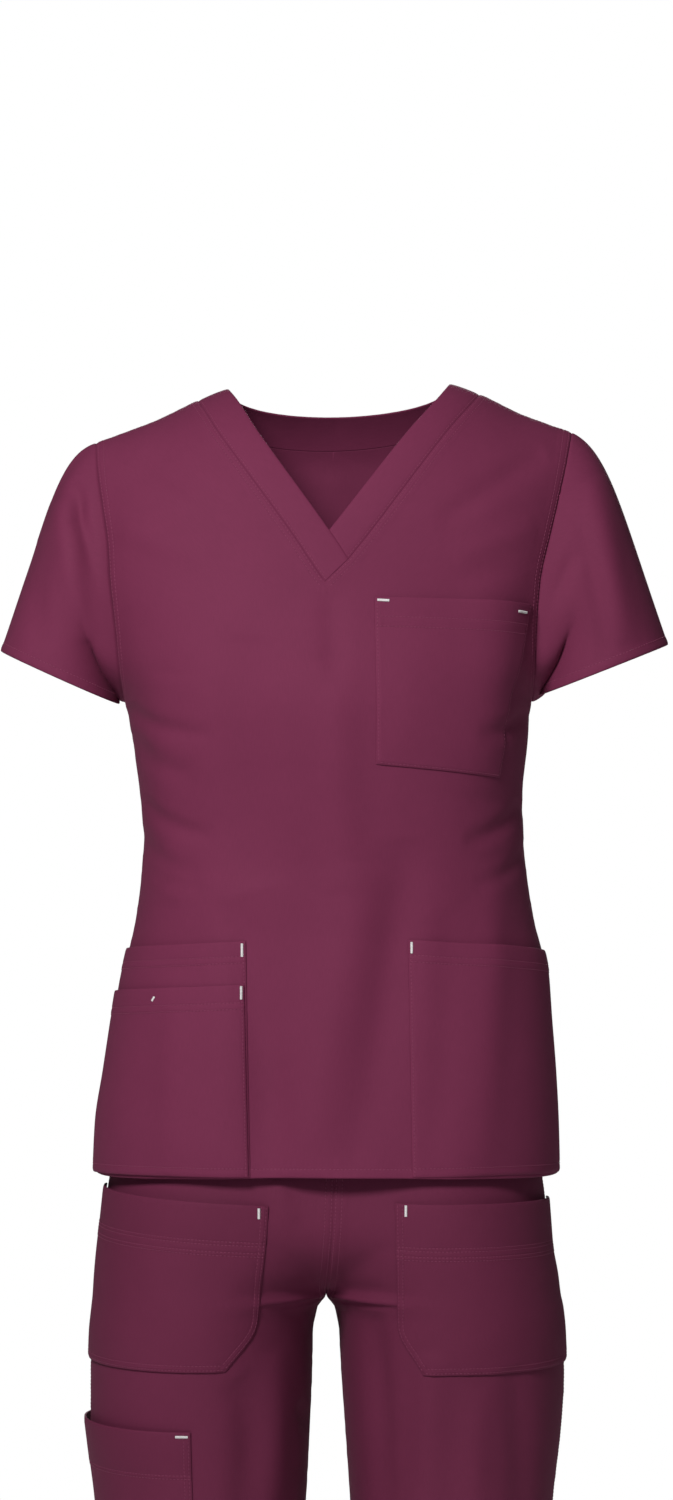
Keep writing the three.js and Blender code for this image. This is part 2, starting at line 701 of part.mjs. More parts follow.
// The turn at which a leg's front lies at a distance from the centre
function turnAt(side, x, z) {
  let inner = -1;
  let outer = 0;
  for (let round = 0; round < 30; round += 1) {
    const middle = (inner + outer) / 2;
    if (side * legPoint(side, middle, z).x < x) inner = middle;
    else outer = middle;
  }
  return (inner + outer) / 2;
}

const outwards = new THREE.Vector3();

function trouserSheet(side, face, heights) {
  const columns = 2 * LEG_COLUMNS;
  return addGrid(emptySheet(), heights.length - 1, columns, (i, j) => {
    const point = legPoint(side, face * (1 - j / columns) || 0, heights[i]);
    outwards.set(point.x - side * LEG_MIDDLE_X, point.y, 0);
    return { point, normal: outwards.clone().normalize() };
  });
}

function waistbandSheet() {
  const sheet = emptySheet();
  const heights = [WAIST_SEAM_Z + SEAM_GAP, (WAIST_SEAM_Z + WAIST_TOP_Z) / 2, WAIST_TOP_Z];
  for (const side of [-1, 1]) {
    for (const face of [-1, 1]) {
      const part = trouserSheet(side, face, heights);
      const indices = part.points.map((point, index) => {
        return addPoint(sheet, { point, normal: part.normals[index] });
      });
      sheet.faces.push(...part.faces.map((face) => face.map((index) => indices[index])));
    }
  }
  return sheet;
}

function trouserPocket(pocket) {
  const sheet = addGrid(emptySheet(), LEG_POCKET_ROWS, LEG_POCKET_COLUMNS, (i, j) => {
    const down = i / LEG_POCKET_ROWS;
    const across = j / LEG_POCKET_COLUMNS;
    const z = lerp(lerp(pocket.topInnerZ, pocket.topOuterZ, across), pocket.bottomZ, down);
    const innerTurn = turnAt(pocket.side, read(pocket.innerEdge, 'x', z), z);
    return legSkin(pocket.side, lerp(innerTurn, -0.004, across), z);
  });
  return wall(sheet, POCKET_CLOTH, LEG_POCKET_LIFT + POCKET_CLOTH);
}

function cargoPocket() {
  const side = -1;
  const sheet = addGrid(emptySheet(), CARGO_ROWS, CARGO_COLUMNS, (i, j) => {
    const z = lerp(CARGO_TOP_Z, CARGO_BOTTOM_Z, i / CARGO_ROWS);
    const front = turnAt(side, CARGO_FRONT_X, CARGO_TOP_Z);
    return legSkin(side, lerp(front, CARGO_BACK_TURN, j / CARGO_COLUMNS), z);
  });
  return wall(sheet, POCKET_CLOTH, LEG_POCKET_LIFT + POCKET_CLOTH);
}

// The garment

const scrubs = new THREE.Group();

function addPiece(name, geometry, colour) {
  const material = new THREE.MeshStandardMaterial({ color: colour, roughness: 0.78, metalness: 0 });
  const mesh = new THREE.Mesh(geometry, material);
  mesh.name = name;
  scrubs.add(mesh);
  return mesh;
}

const TUNIC_COLOUR = 0x6f2c47;
const SLEEVE_COLOUR = 0x6a2943;
const BAND_COLOUR = 0x753049;
const POCKET_COLOUR = 0x722e49;
const TROUSER_COLOUR = 0x632540;

addPiece('top_front', tunicPanel(-1, FRONT_COLUMNS), TUNIC_COLOUR);
addPiece('top_back', tunicPanel(1, BACK_COLUMNS), TUNIC_COLOUR);
addPiece('sleeve_right', sleeve(-1), SLEEVE_COLOUR);
addPiece('sleeve_left', sleeve(1), SLEEVE_COLOUR);
addPiece('neckband_right', frontBand(-1), BAND_COLOUR);
addPiece('neckband_left', frontBand(1), BAND_COLOUR);
addPiece('neckband_back', backBand(), BAND_COLOUR);
addPiece('chest_pocket', tunicPocket(chestPocket, 0), POCKET_COLOUR);
addPiece('lower_pocket_right', tunicPocket(lowerPocketRight, 0), POCKET_COLOUR);
addPiece('lower_pocket_right_outer', tunicPocket(lowerPocketRightOuter, 1), POCKET_COLOUR);
addPiece('lower_pocket_left', tunicPocket(lowerPocketLeft, 0), POCKET_COLOUR);

const legHeights = [...RISE_ROWS, ...LEG_ROWS];
const trouserPanels = [
  { name: 'trouser_front_right', side: -1, face: -1 },
  { name: 'trouser_front_left', side: 1, face: -1 },
  { name: 'trouser_back_right', side: -1, face: 1 },
  { name: 'trouser_back_left', side: 1, face: 1 },
];
for (const panel of trouserPanels) panel.sheet = trouserSheet(panel.side, panel.face, legHeights);
shareNormals(trouserPanels.map((panel) => panel.sheet));
for (const { name, side, face, sheet } of trouserPanels) {
  const piece = addPiece(name, wall(sheet, CLOTH), TROUSER_COLOUR);
  piece.position.set((side * SEAM_GAP) / 2, (face * SEAM_GAP) / 2, 0);
}
const waistband = waistbandSheet();
shareNormals([waistband]);
addPiece('waistband', wall(waistband, CLOTH), TROUSER_COLOUR);
const legPockets = [
  { name: 'front_pocket_right', side: -1, geometry: trouserPocket(frontPocketRight) },
  { name: 'front_pocket_left', side: 1, geometry: trouserPocket(frontPocketLeft) },
  { name: 'cargo_pocket_right', side: -1, geometry: cargoPocket() },
];
for (const { name, side, geometry } of legPockets) {
  addPiece(name, geometry, POCKET_COLOUR).position.set((side * SEAM_GAP) / 2, -SEAM_GAP / 2, 0);
}

export default scrubs;
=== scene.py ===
"""Medical scrubs: a V-neck tunic with short sleeves over straight trousers, worn and hollow.

Sizes in the tables are millimetres, with the front towards -Y, the wearer's left towards +X and
the origin midway between the shoulders. Side is -1 on the wearer's right and 1 on the left. Face
is -1 in front and 1 behind. Meshes are made in metres.
"""

import math

import bmesh
import bpy
import numpy as np
from bpy.props import FloatProperty, FloatVectorProperty, PointerProperty
from bpy.types import Operator, Panel, PropertyGroup
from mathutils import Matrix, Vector
from mathutils.bvhtree import BVHTree


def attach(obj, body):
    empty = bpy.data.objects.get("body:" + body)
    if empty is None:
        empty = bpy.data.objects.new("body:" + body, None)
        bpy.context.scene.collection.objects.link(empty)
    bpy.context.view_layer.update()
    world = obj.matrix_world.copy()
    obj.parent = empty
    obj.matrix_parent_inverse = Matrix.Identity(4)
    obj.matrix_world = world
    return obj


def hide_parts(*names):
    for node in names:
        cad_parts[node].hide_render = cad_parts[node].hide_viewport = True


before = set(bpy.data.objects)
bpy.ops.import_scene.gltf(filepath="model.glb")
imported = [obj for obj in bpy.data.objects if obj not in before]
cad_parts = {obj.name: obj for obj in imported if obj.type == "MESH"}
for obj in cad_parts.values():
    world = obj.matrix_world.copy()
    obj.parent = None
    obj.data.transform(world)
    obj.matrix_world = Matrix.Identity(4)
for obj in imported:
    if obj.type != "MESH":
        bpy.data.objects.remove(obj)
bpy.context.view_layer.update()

bl_info = {
    "name": "Medical scrubs",
    "version": (1, 0, 0),
    "blender": (4, 5, 0),
    "location": "View3D > Sidebar > Scrubs",
    "description": "Sews the cloth, stitching and bartacks of a set of medical scrubs",
    "category": "Object",
}

MM = 0.001
BODY = "root"

# Cloth
CLOTH = 1.5
POCKET_CLOTH = 1.2
SEAM_GAP = 0.3
TUNIC_POCKET_LIFT = 0.6
LEG_POCKET_LIFT = 0.95

# Tunic
HEM_Z = -604.5
HEM_SIDE_DROP = 6
ARMPIT_Z = -245
SHOULDER_Z = -39
FRONT_ROUND = 95
BACK_ROUND = 70
FULLNESS = 0.18
SHOULDER_TILT = 0.022
TILT_START_Z = -250
TILT_FULL_Z = -40

# Neckline, on the half away from the centre
NECK_SEAM_X = 110
NECK_EDGE_X = 86.5
V_SEAM_Z = -155
V_EDGE_Z = -115.5
LAP_X = 16.7
LAP_Z = -138
LAP_STEP = 0.12
BACK_SEAM_Z = -44
BACK_EDGE_Z = -18

# Trousers
WAIST_TOP_Z = -462
WAIST_SEAM_Z = -497
CROTCH_Z = -706
CROTCH_Y = 8
CLEFT_HEIGHT = -12
ROW_SLACK = 0.01
RISE_START_Z = -638
CENTRE_FLATTENING = 0.98
KNEE_Z = -1030
ANKLE_Z = -1476

# Handle of a cubic curve that draws a quarter round, as a share of its radius
ROUND = 0.5523


class Table:
    """Rows of sizes with named columns, read smoothly and without overshoot between rows."""

    def __init__(self, names, rows):
        columns = np.array(rows, float).T
        if columns[0][0] > columns[0][-1]:
            columns = columns[:, ::-1]
        self.columns = dict(zip(names.split(), columns))

    def read(self, name, place):
        at = self.columns["at"]
        value = self.columns[name]
        slope = np.diff(value) / np.diff(at)
        product = slope[:-1] * slope[1:]
        total = np.where(product > 0, slope[:-1] + slope[1:], 1)
        inner = np.where(product > 0, 2 * product / total, 0)
        tangent = np.concatenate([slope[:1], inner, slope[-1:]])
        place = np.asarray(place, float)
        row = np.clip(np.searchsorted(at, place, side="right") - 1, 0, len(at) - 2)
        span = at[row + 1] - at[row]
        t = np.clip((place - at[row]) / span, 0, 1)
        start = value[row] * (1 + 2 * t) * (1 - t) ** 2 + span * tangent[row] * t * (1 - t) ** 2
        end = value[row + 1] * (3 - 2 * t) * t**2 - span * tangent[row + 1] * t**2 * (1 - t)
        return start + end


# Sections of the tunic from the shoulders down: half widths at the side seams, or what they
# would be if there were no armholes, and depths in front and behind
TUNIC = Table(
    "at half_right half_left front back",
    [
        (20, 216, 216, 66, 70),
        (-39, 205.6, 205.6, 80, 84),
        (-65, 201, 201, 86, 91),
        (-95, 194.4, 194.4, 95, 97),
        (-120, 189, 189, 101, 100),
        (-150, 182.9, 182.9, 108, 101),
        (-190, 174.6, 174.6, 118, 99),
        (-215, 169.3, 169.3, 123, 97),
        (-245, 158, 158, 126, 94),
        (-280, 151.5, 155, 123, 90),
        (-317, 146, 151.5, 117, 87),
        (-350, 143.6, 152.5, 112, 86),
        (-376, 145, 154.5, 110, 87),
        (-415, 150, 160.6, 110, 91),
        (-454, 159, 170, 113, 99),
        (-493, 166, 173, 117, 109),
        (-532, 172, 176, 121, 118),
        (-571, 178, 178, 124, 127),
        (-612, 180, 179, 126, 131),
    ],
)

# The seam of the armhole: its distance from the centre
ARMHOLE = Table(
    "at x",
    [
        (-39, 185),
        (-65, 181),
        (-95, 175),
        (-120, 170),
        (-150, 165.5),
        (-190, 161.5),
        (-215, 160),
        (-235, 158.9),
        (-245, 158),
    ],
)

# The crest over the shoulders, carried on over the neck opening
CREST = Table(
    "at z",
    [
        (0, 14),
        (60, 8),
        (86.5, 1),
        (100, -4),
        (117, -11),
        (142, -23),
        (166, -32),
        (185, -39),
        (205, -46),
    ],
)

# How far the worn tunic sits towards the wearer's left at each height
SWAY = Table("at x", [(15, 8.5), (-5, 8.5), (-40, 4.5), (-117, 1), (-155, -2), (-250, 0)])

# Large folds of the tunic: face, place across and width, heights of start and full depth, depth
TUNIC_FOLDS = [
    (-1, -86, 26, -300, -520, 3.5),
    (-1, -40, 24, -330, -560, -3),
    (-1, 22, 30, -300, -540, 2.5),
    (-1, 92, 28, -300, -500, 3.5),
    (1, -66, 26, -260, -420, 3),
    (1, 0, 34, -150, -330, -4),
    (1, 72, 26, -280, -450, 3.5),
]

# Hem of each sleeve: outer and inner end of its ring, half its depth and its dip in front
SLEEVE_HEMS = {
    -1: (255, -205, 162.5, -246, 57, 1),
    1: (265, -200, 163.5, -239.5, 59, 0.5),
}

# Sections of the trousers from the waist down: outer seams, and each leg's foremost and
# rearmost points
TROUSERS = Table(
    "at out_right out_left front_x front back_x back",
    [
        (-462, 134, 134, 58, 86, 70, 80),
        (-497, 142, 142, 60, 93, 72, 87),
        (-560, 158, 157, 62, 104, 75, 106),
        (-607, 169, 166, 66, 110, 78, 115),
        (-638, 174, 170, 74, 112, 82, 116),
        (-668, 178, 173, 84, 111, 88, 113),
        (-690, 180, 177, 91, 109, 92, 108),
        (-706, 181, 179, 95, 108, 95, 104),
        (-715, 182, 181, 97, 107, 96, 101),
        (-735, 184, 183, 98, 105, 98, 96),
        (-770, 185, 184, 99, 101, 99, 89),
        (-805, 185, 182, 99, 97, 99, 83),
        (-863, 179, 175.5, 98, 90, 98, 77),
        (-950, 171, 168, 97, 80, 97, 70),
        (-1030, 167, 165, 97, 72, 97, 66),
        (-1150, 165, 164, 97, 65, 97, 70),
        (-1300, 165, 164, 97, 65, 97, 72),
        (-1476, 167, 166, 97, 69, 97, 71),
    ],
)

# The middle seam's place across, half the gap between the inner seams, and how far a section
# runs straight on from its inner end
INNER_SEAMS = Table(
    "at gap centre reach",
    [
        (-607, 0, 5, 1),
        (-638, 0, 4, 1),
        (-668, 0, 2, 0.8),
        (-690, 0, 0, 0.35),
        (-706, 0, -1.5, 0),
        (-715, 6, -1.5, 0.35),
        (-735, 10, -1.5, 0.7),
        (-770, 11.5, -1, 0.9),
        (-805, 13.5, -0.5, 1),
        (-863, 17, 0, 1),
        (-950, 23, 0, 1),
        (-1030, 27, 0, 1),
        (-1150, 28, 0, 1),
        (-1300, 28, 0, 1),
        (-1476, 27, 0, 1),
    ],
)

# Pockets of the tunic: side, inner edge's distance from the centre at top and bottom, angles of
# the outer edge there, heights of the corners, and layers below. No bottom means down to the hem.
TUNIC_POCKETS = {
    "chest_pocket": (1, 37.5, 36.5, (61.2, 58), -167, -172, -293, -303, 0),
    "lower_pocket_right": (-1, 62.5, 58.5, (89.5, 89.5), -427, -438, None, None, 0),
    "lower_pocket_right_outer": (-1, 63.5, 60, (89.5, 89.5), -460, -471, None, None, 1),
    "lower_pocket_left": (1, 61, 64, (89.5, 89.5), -426, -440, None, None, 0),
}

# Pockets of the trousers: side, heights of the mouth's ends and of the bottom, and the inner edge
LEG_POCKETS = {
    "front_pocket_right": (
        -1,
        -627.5,
        -620,
        -754,
        Table("at x", [(-620, 44.5), (-640, 45.3), (-687, 50.6), (-719, 54), (-754, 78)]),
    ),
    "front_pocket_left": (
        1,
        -625,
        -630,
        -756,
        Table("at x", [(-620, 50.9), (-640, 51.2), (-687, 52.6), (-721, 53.6), (-756, 73)]),
    ),
}
CARGO_TOP_Z = -800
CARGO_BOTTOM_Z = -985
CARGO_FRONT_X = 104
CARGO_BACK_TURN = 0.2


def lerp(start, end, share):
    return start + (end - start) * share


def smoothstep(value, low, high):
    share = np.clip((value - low) / (high - low), 0, 1)
    return share * share * (3 - 2 * share)


def unit(vectors):
    return vectors / np.maximum(np.linalg.norm(vectors, axis=-1, keepdims=True), 1e-9)


# Skin of the tunic


def crest_z(x):
    return CREST.read("z", np.abs(x))


def tunic_half(x, z):
    return np.where(x < 0, TUNIC.read("half_right", z), TUNIC.read("half_left", z))


def fold_depth(face, x, z):
    depth = 0 * x
    for fold_face, place, width, start, full, most in TUNIC_FOLDS:
        if fold_face == face:
            across = (x - place) / width
            depth = depth + most * np.exp(-across * across) * smoothstep(-z, -start, -full)
    return depth


def tunic_depth(face, x, z):
    table = TUNIC.read("front" if face < 0 else "back", z)
    share = x / tunic_half(x, z)
    return (table + fold_depth(face, x, z)) * (1 + FULLNESS * share * share)


def under_crest(face, x, z):
    spread = FRONT_ROUND if face < 0 else BACK_ROUND
    return np.maximum(1 - (crest_z(x) - z) / spread, 0)


def tunic_field(face, x, y, z):
    share = x / tunic_half(x, z)
    over = under_crest(face, x, z)
    return (y / tunic_depth(face, x, z)) ** 2 - (1 - share * share) * (1 - over * over)


def settle(points):
    x, y, z = points[..., 0], points[..., 1], points[..., 2]
    tilt = smoothstep(z, TILT_START_Z, TILT_FULL_Z) * SHOULDER_TILT
    return np.stack([x + SWAY.read("x", z), y, z + tilt * x], -1)


def tunic_skin(face, x, z, lift=0.0):
    """Points of the tunic's outside at places across and heights, raised by lift."""
    x, z = np.broadcast_arrays(np.asarray(x, float), np.asarray(z, float))
    share = np.clip(x / tunic_half(x, z), -1, 1)
    over = np.minimum(under_crest(face, x, z), 1)
    full = tunic_depth(face, share * tunic_half(x, z), z)
    y = face * full * np.sqrt((1 - share * share) * (1 - over * over))
    step = 0.05
    normal = np.stack(
        [
            tunic_field(face, x + step, y, z) - tunic_field(face, x - step, y, z),
            tunic_field(face, x, y + step, z) - tunic_field(face, x, y - step, z),
            tunic_field(face, x, y, z + step) - tunic_field(face, x, y, z - step),
        ],
        -1,
    )
    points = np.stack([x, y + face * SEAM_GAP / 2, z], -1)
    lift = np.asarray(lift)[..., None] if np.ndim(lift) else lift
    return settle(points + unit(normal) * lift)


def front_neck_seam(side, way):
    if side < 0:
        return NECK_SEAM_X * way, lerp(V_SEAM_Z, crest_z(NECK_SEAM_X), way)
    rest = np.clip((way - LAP_STEP) / (1 - LAP_STEP), 0, 1)
    below = way <= LAP_STEP
    x = np.where(below, LAP_X * way / LAP_STEP, lerp(LAP_X, NECK_SEAM_X, rest))
    low = lerp(V_SEAM_Z, LAP_Z, way / LAP_STEP)
    return x, np.where(below, low, lerp(LAP_Z, crest_z(NECK_SEAM_X), rest))


def back_neck_line(edge_x, centre_z, way):
    turn = way * math.pi / 2
    return edge_x * np.sin(turn), lerp(crest_z(edge_x), centre_z, np.cos(turn))


def armhole(turn):
    middle = (ARMPIT_Z + SHOULDER_Z) / 2
    half = (SHOULDER_Z - ARMPIT_Z) / 2
    z = middle - half * np.cos(turn)
    return ARMHOLE.read("x", z), z


def finer(steps, parts):
    """The steps with each gap cut into equal parts."""
    steps = np.asarray(steps, float)
    places = np.arange((len(steps) - 1) * parts + 1) / parts
    return np.interp(places, np.arange(len(steps)), steps)


# Creases and seams

# How deep the soft folds are beside the heights of their tables
FOLD_FULLNESS = 1.85


def distance_to_curve(x, z, curve):
    """Distance of places from a curve through three points, and how far along it they lie."""
    t = np.linspace(0, 1, 15)[:, None]
    a, b, c = (np.array(point, float) for point in curve)
    line = (1 - t) ** 2 * a + 2 * t * (1 - t) * (2 * b - (a + c) / 2) + t * t * c
    nearest = np.full(x.shape, np.inf)
    along = np.zeros(x.shape)
    for k, (start, end) in enumerate(zip(line, line[1:])):
        step = end - start
        share = ((x - start[0]) * step[0] + (z - start[1]) * step[1]) / (step @ step)
        share = np.clip(share, 0, 1)
        gap = np.hypot(x - start[0] - share * step[0], z - start[1] - share * step[1])
        closer = gap < nearest
        nearest = np.where(closer, gap, nearest)
        along = np.where(closer, (k + share) / (len(line) - 1), along)
    return nearest, along


def creases(table, points):
    """Height of the soft folds of a table at points of the skin: ridges up, troughs down."""
    x, y, z = points[..., 0], points[..., 1], points[..., 2]
    height = 0 * x
    for face, *curve, width, depth in table:
        gap, along = distance_to_curve(x, z, curve)
        q = (gap / width) ** 2
        near = np.exp(-q) * (1 - 0.45 * q)
        ends = np.sqrt(np.clip(4 * along * (1 - along), 0, 1))
        height += FOLD_FULLNESS * depth * near * ends * smoothstep(face * y, -10, 20)
    return height


def ripple(along, seed):
    """An uneven wave between -1 and 1 along a seam, as stitching draws the cloth up."""
    waves = ((8.3, 0.4), (13.1, 0.35), (21.7, 0.25))
    return sum(
        share * np.sin(2 * math.pi * along / length + seed * (k + 1.7))
        for k, (length, share) in enumerate(waves)
    )


def distance_to_line(points, line):
    """Distance of points from a line of points, and how far along it they lie."""
    flat = points.reshape(-1, 3)
    nearest = np.full(len(flat), np.inf)
    along = np.zeros(len(flat))
    run = 0.0
    for start, end in zip(line, line[1:]):
        step = end - start
        length = np.linalg.norm(step)
        if length < 1e-6:
            continue
        share = np.clip((flat - start) @ step / length**2, 0, 1)
        gap = np.linalg.norm(flat - start - share[:, None] * step, axis=1)
        closer = gap < nearest
        nearest = np.where(closer, gap, nearest)
        along = np.where(closer, run + share * length, along)
        run += length
    return nearest.reshape(points.shape[:-1]), along.reshape(points.shape[:-1])


class Edge:
    """A sewn edge of a grid: how cloth rises and falls by it, and its rows of stitches."""

    def __init__(self, points, line, rows=(), allowance=0.0, roll=0.4, pucker=0.2, seed=1.0):
        self.distance, self.along = distance_to_line(points, line)
        self.rows = rows
        self.allowance = allowance
        self.roll = roll
        self.pucker = pucker
        self.seed = seed

    def height(self):
        gap = self.distance
        height = -self.roll * np.exp(-((gap / 0.9) ** 2))
        if self.allowance:
            height += 0.35 * (1 - smoothstep(gap, self.allowance - 0.4, self.allowance + 1.4))
        for row in self.rows:
            height -= 0.3 * np.exp(-(((gap - row) / 0.9) ** 2))
        reach = max(self.rows, default=0) + 6
        fade = np.exp(-((gap / reach) ** 2))
        return height + self.pucker * fade * ripple(self.along, self.seed)


FINE = (0, 0.7, 1.5, 2.4, 3.4, 4.6, 6, 7.6, 9.6)


def paces(length, step, start=FINE, end=FINE):
    """Shares of lengths: close together at the ends and a step apart between."""
    length = np.atleast_1d(np.asarray(length, float))
    middle = length.max() - start[-1] - end[-1]
    count = max(2, round(middle / step))
    places = []
    for whole in length:
        scale = min(1.0, whole / (start[-1] + end[-1] + 4))
        first = np.array(start) * scale
        last = whole - np.array(end[::-1]) * scale
        between = np.linspace(first[-1], last[0], count + 1)[1:-1]
        places.append(np.concatenate([first, between, last]) / whole)
    return np.array(places)


# Sewing


def weld(points):
    """The number of the first point at each place, and each point's number among those."""
    keys = np.round(points * 200).astype(np.int64)
    _, first, inverse = np.unique(keys, axis=0, return_index=True, return_inverse=True)
    return first, inverse.ravel()


def grid_lengths(points):
    """Lengths along the rows and the columns of a grid."""
    across = np.linalg.norm(np.diff(points, axis=1), axis=-1)
    down = np.linalg.norm(np.diff(points, axis=0), axis=-1)
    zero_column = np.zeros((points.shape[0], 1))
    zero_row = np.zeros((1, points.shape[1]))
    return (
        np.concatenate([zero_column, np.cumsum(across, 1)], 1),
        np.concatenate([zero_row, np.cumsum(down, 0)], 0),
    )


def grid_quads(rows, columns):
    index = np.arange(rows * columns).reshape(rows, columns)
    quads = np.stack([index[:-1, :-1], index[:-1, 1:], index[1:, 1:], index[1:, :-1]], -1)
    return quads.reshape(-1, 4)


def face_areas(points, faces):
    p = points[faces]
    return np.cross(p[:, 2] - p[:, 0], p[:, 3] - p[:, 1])


def vertex_normals(points, faces):
    area = face_areas(points, faces)
    normals = np.zeros_like(points)
    for corner in range(4):
        np.add.at(normals, faces[:, corner], area)
    return unit(normals)


def grid_normals(grid, outward, ring=False):
    """Normals of a grid, towards the outside. A ring's first and last columns are one."""
    flat = grid.reshape(-1, 3)
    quads = grid_quads(*grid.shape[:2])
    area = face_areas(flat, quads)
    normals = np.zeros_like(flat)
    for corner in range(4):
        np.add.at(normals, quads[:, corner], area)
    normals = normals.reshape(grid.shape)
    if ring:
        normals[:, 0] += normals[:, -1]
        normals[:, -1] = normals[:, 0]
    way = (area * outward(flat[quads].mean(1))).sum()
    return unit(normals) * (1 if way > 0 else -1)


def sew(name, grids, material, outward):
    """A closed wall of cloth from pairs of grids, outside and inside, with a rounded edge.

    outward gives a direction that points out of the garment at a point.
    """
    points, inner, faces, cloth_uv = [], [], [], []
    count = 0
    for outer_grid, inner_grid in grids:
        quads = grid_quads(*outer_grid.shape[:2])
        flat = outer_grid.reshape(-1, 3)
        if (face_areas(flat, quads) * outward(flat[quads].mean(1))).sum() < 0:
            quads = quads[:, ::-1]
        along, down = grid_lengths(outer_grid)
        cloth_uv.append(np.stack([along, down], -1).reshape(-1, 2) * MM)
        points.append(flat)
        inner.append(inner_grid.reshape(-1, 3))
        faces.append(quads + count)
        count += len(flat)
    points = np.concatenate(points)
    inner = np.concatenate(inner)
    cloth_uv = np.concatenate(cloth_uv)
    raw_faces = np.concatenate(faces)
    first, same = weld(points)
    points, inner = points[first], inner[first]
    faces = same[raw_faces]
    normals = vertex_normals(points, faces)

    edges = set()
    for a, b, c, d in faces.tolist():
        edges.update((start, end) for start, end in ((a, b), (b, c), (c, d), (d, a)) if start != end)
    rim = sorted(edge for edge in edges if (edge[1], edge[0]) not in edges)
    outwards = np.zeros_like(points)
    for start, end in rim:
        side = np.cross(points[end] - points[start], normals[start] + normals[end])
        outwards[start] += side
        outwards[end] += side
    outwards = unit(outwards)

    total = len(points)
    rim_points = sorted({index for edge in rim for index in edge})
    rim_number = {index: 2 * total + place for place, index in enumerate(rim_points)}
    thickness = np.linalg.norm(points - inner, axis=1, keepdims=True)
    bulge = (points + inner) / 2 + outwards * thickness * 0.25
    all_points = np.concatenate([points, inner, bulge[rim_points]])
    mesh_faces, mesh_uv = [], []
    for face, raw in zip(faces.tolist(), raw_faces.tolist()):
        corners = [k for k in range(4) if face[k] != face[k - 1]]
        if len(corners) < 3:
            continue
        outside = [face[k] for k in corners]
        uv = [cloth_uv[raw[k]] for k in corners]
        mesh_faces.append(outside)
        mesh_uv += uv
        mesh_faces.append([index + total for index in outside[::-1]])
        mesh_uv += uv[::-1]
    uv_of = cloth_uv[first]
    for start, end in rim:
        a, b = rim_number[start], rim_number[end]
        mesh_faces += [[end, start, a, b], [b, a, start + total, end + total]]
        mesh_uv += 2 * [uv_of[end], uv_of[start], uv_of[start], uv_of[end]]
    mesh = bpy.data.meshes.new(name)
    mesh.from_pydata((all_points * MM).tolist(), [], mesh_faces)
    layer = mesh.uv_layers.new(name="cloth")
    layer.data.foreach_set("uv", np.array(mesh_uv, np.float32).ravel())
    mesh.shade_smooth()
    mesh.materials.append(material)
    return show(name, mesh)


def show(name, mesh):
    piece = bpy.data.objects.new(name, mesh)
    bpy.context.scene.collection.objects.link(piece)
    return piece


# Thread


def stitched_line(grid, normals, distance, inset, axis, clear=()):
    """Where a row of stitches runs: the places of a grid at one distance from an edge, found
    along its rows (axis 1) or its columns (axis 0). clear gives other edges' distances, which
    the row keeps the same inset from."""
    if axis == 0:
        grid, normals = grid.swapaxes(0, 1), normals.swapaxes(0, 1)
        distance = distance.T
        clear = [other.T for other in clear]
    places, directions = [], []
    for i in range(grid.shape[0]):
        inside = distance[i] >= inset
        crossings = np.nonzero(inside[1:] != inside[:-1])[0]
        if not len(crossings):
            continue
        j = crossings[0] if not inside[0] else crossings[-1]
        span = distance[i, j + 1] - distance[i, j]
        share = (inset - distance[i, j]) / span
        if any(lerp(other[i, j], other[i, j + 1], share) < inset * 0.98 for other in clear):
            continue
        places.append(lerp(grid[i, j], grid[i, j + 1], share))
        directions.append(lerp(normals[i, j], normals[i, j + 1], share))
    return np.array(places), np.array(directions)


def thread_row(places, normals, pitch=2.9, length=2.3, width=0.62, height=0.34):
    """Points and faces of the stitches of one row, each a short rounded thread."""
    if len(places) < 2:
        return np.zeros((0, 3)), []
    run = np.concatenate([[0], np.cumsum(np.linalg.norm(np.diff(places, axis=0), axis=1))])
    count = int((run[-1] - length) // pitch) + 1
    if count < 1:
        return np.zeros((0, 3)), []
    starts = (run[-1] - (count - 1) * pitch - length) / 2 + np.arange(count) * pitch

    def at(values, run_places):
        return np.stack([np.interp(run_places, run, values[:, k]) for k in range(3)], -1)

    first, last = at(places, starts), at(places, starts + length)
    way = unit(last - first)
    up = unit(at(normals, starts + length / 2))
    side = np.cross(up, way)
    rings = [first[:, None]]
    for share in (0.22, 0.78):
        middle = at(places, starts + length * share)
        rings.append(
            np.stack(
                [
                    middle - side * width / 2,
                    middle + up * height,
                    middle + side * width / 2,
                    middle - up * height * 0.4,
                ],
                1,
            )
        )
    rings.append(last[:, None])
    points = np.concatenate(rings, 1).reshape(-1, 3)
    faces = []
    for base in range(0, 10 * count, 10):
        for k in range(4):
            a, b = 1 + k, 1 + (k + 1) % 4
            faces.append([base, base + b, base + a])
            faces.append([base + a, base + b, base + b + 4, base + a + 4])
            faces.append([base + a + 4, base + b + 4, base + 9])
    return points, faces


def sew_threads(name, rows, material):
    """All rows of stitches of a piece as one mesh."""
    points, faces = [], []
    count = 0
    for row_points, row_faces in rows:
        points.append(row_points)
        faces += [[index + count for index in face] for face in row_faces]
        count += len(row_points)
    mesh = bpy.data.meshes.new(name)
    mesh.from_pydata((np.concatenate(points) * MM).tolist(), [], faces)
    mesh.shade_smooth()
    mesh.materials.append(material)
    return show(name, mesh)


def dress(piece, node, slot, threads=()):
    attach(piece, BODY)
    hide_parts(node)
    if threads:
        stitches = sew_threads(node + "_stitches", threads, material_of(slot, "thread"))
        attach(stitches, BODY)
    return piece


# Cloth and thread


def math_node(tree, operation, first, second=None):
    node = tree.nodes.new("ShaderNodeMath")
    node.operation = operation
    for socket, value in zip(node.inputs, (first, second)):
        if isinstance(value, (int, float)):
            socket.default_value = value
        elif value is not None:
            tree.links.new(value, socket)
    return node.outputs[0]


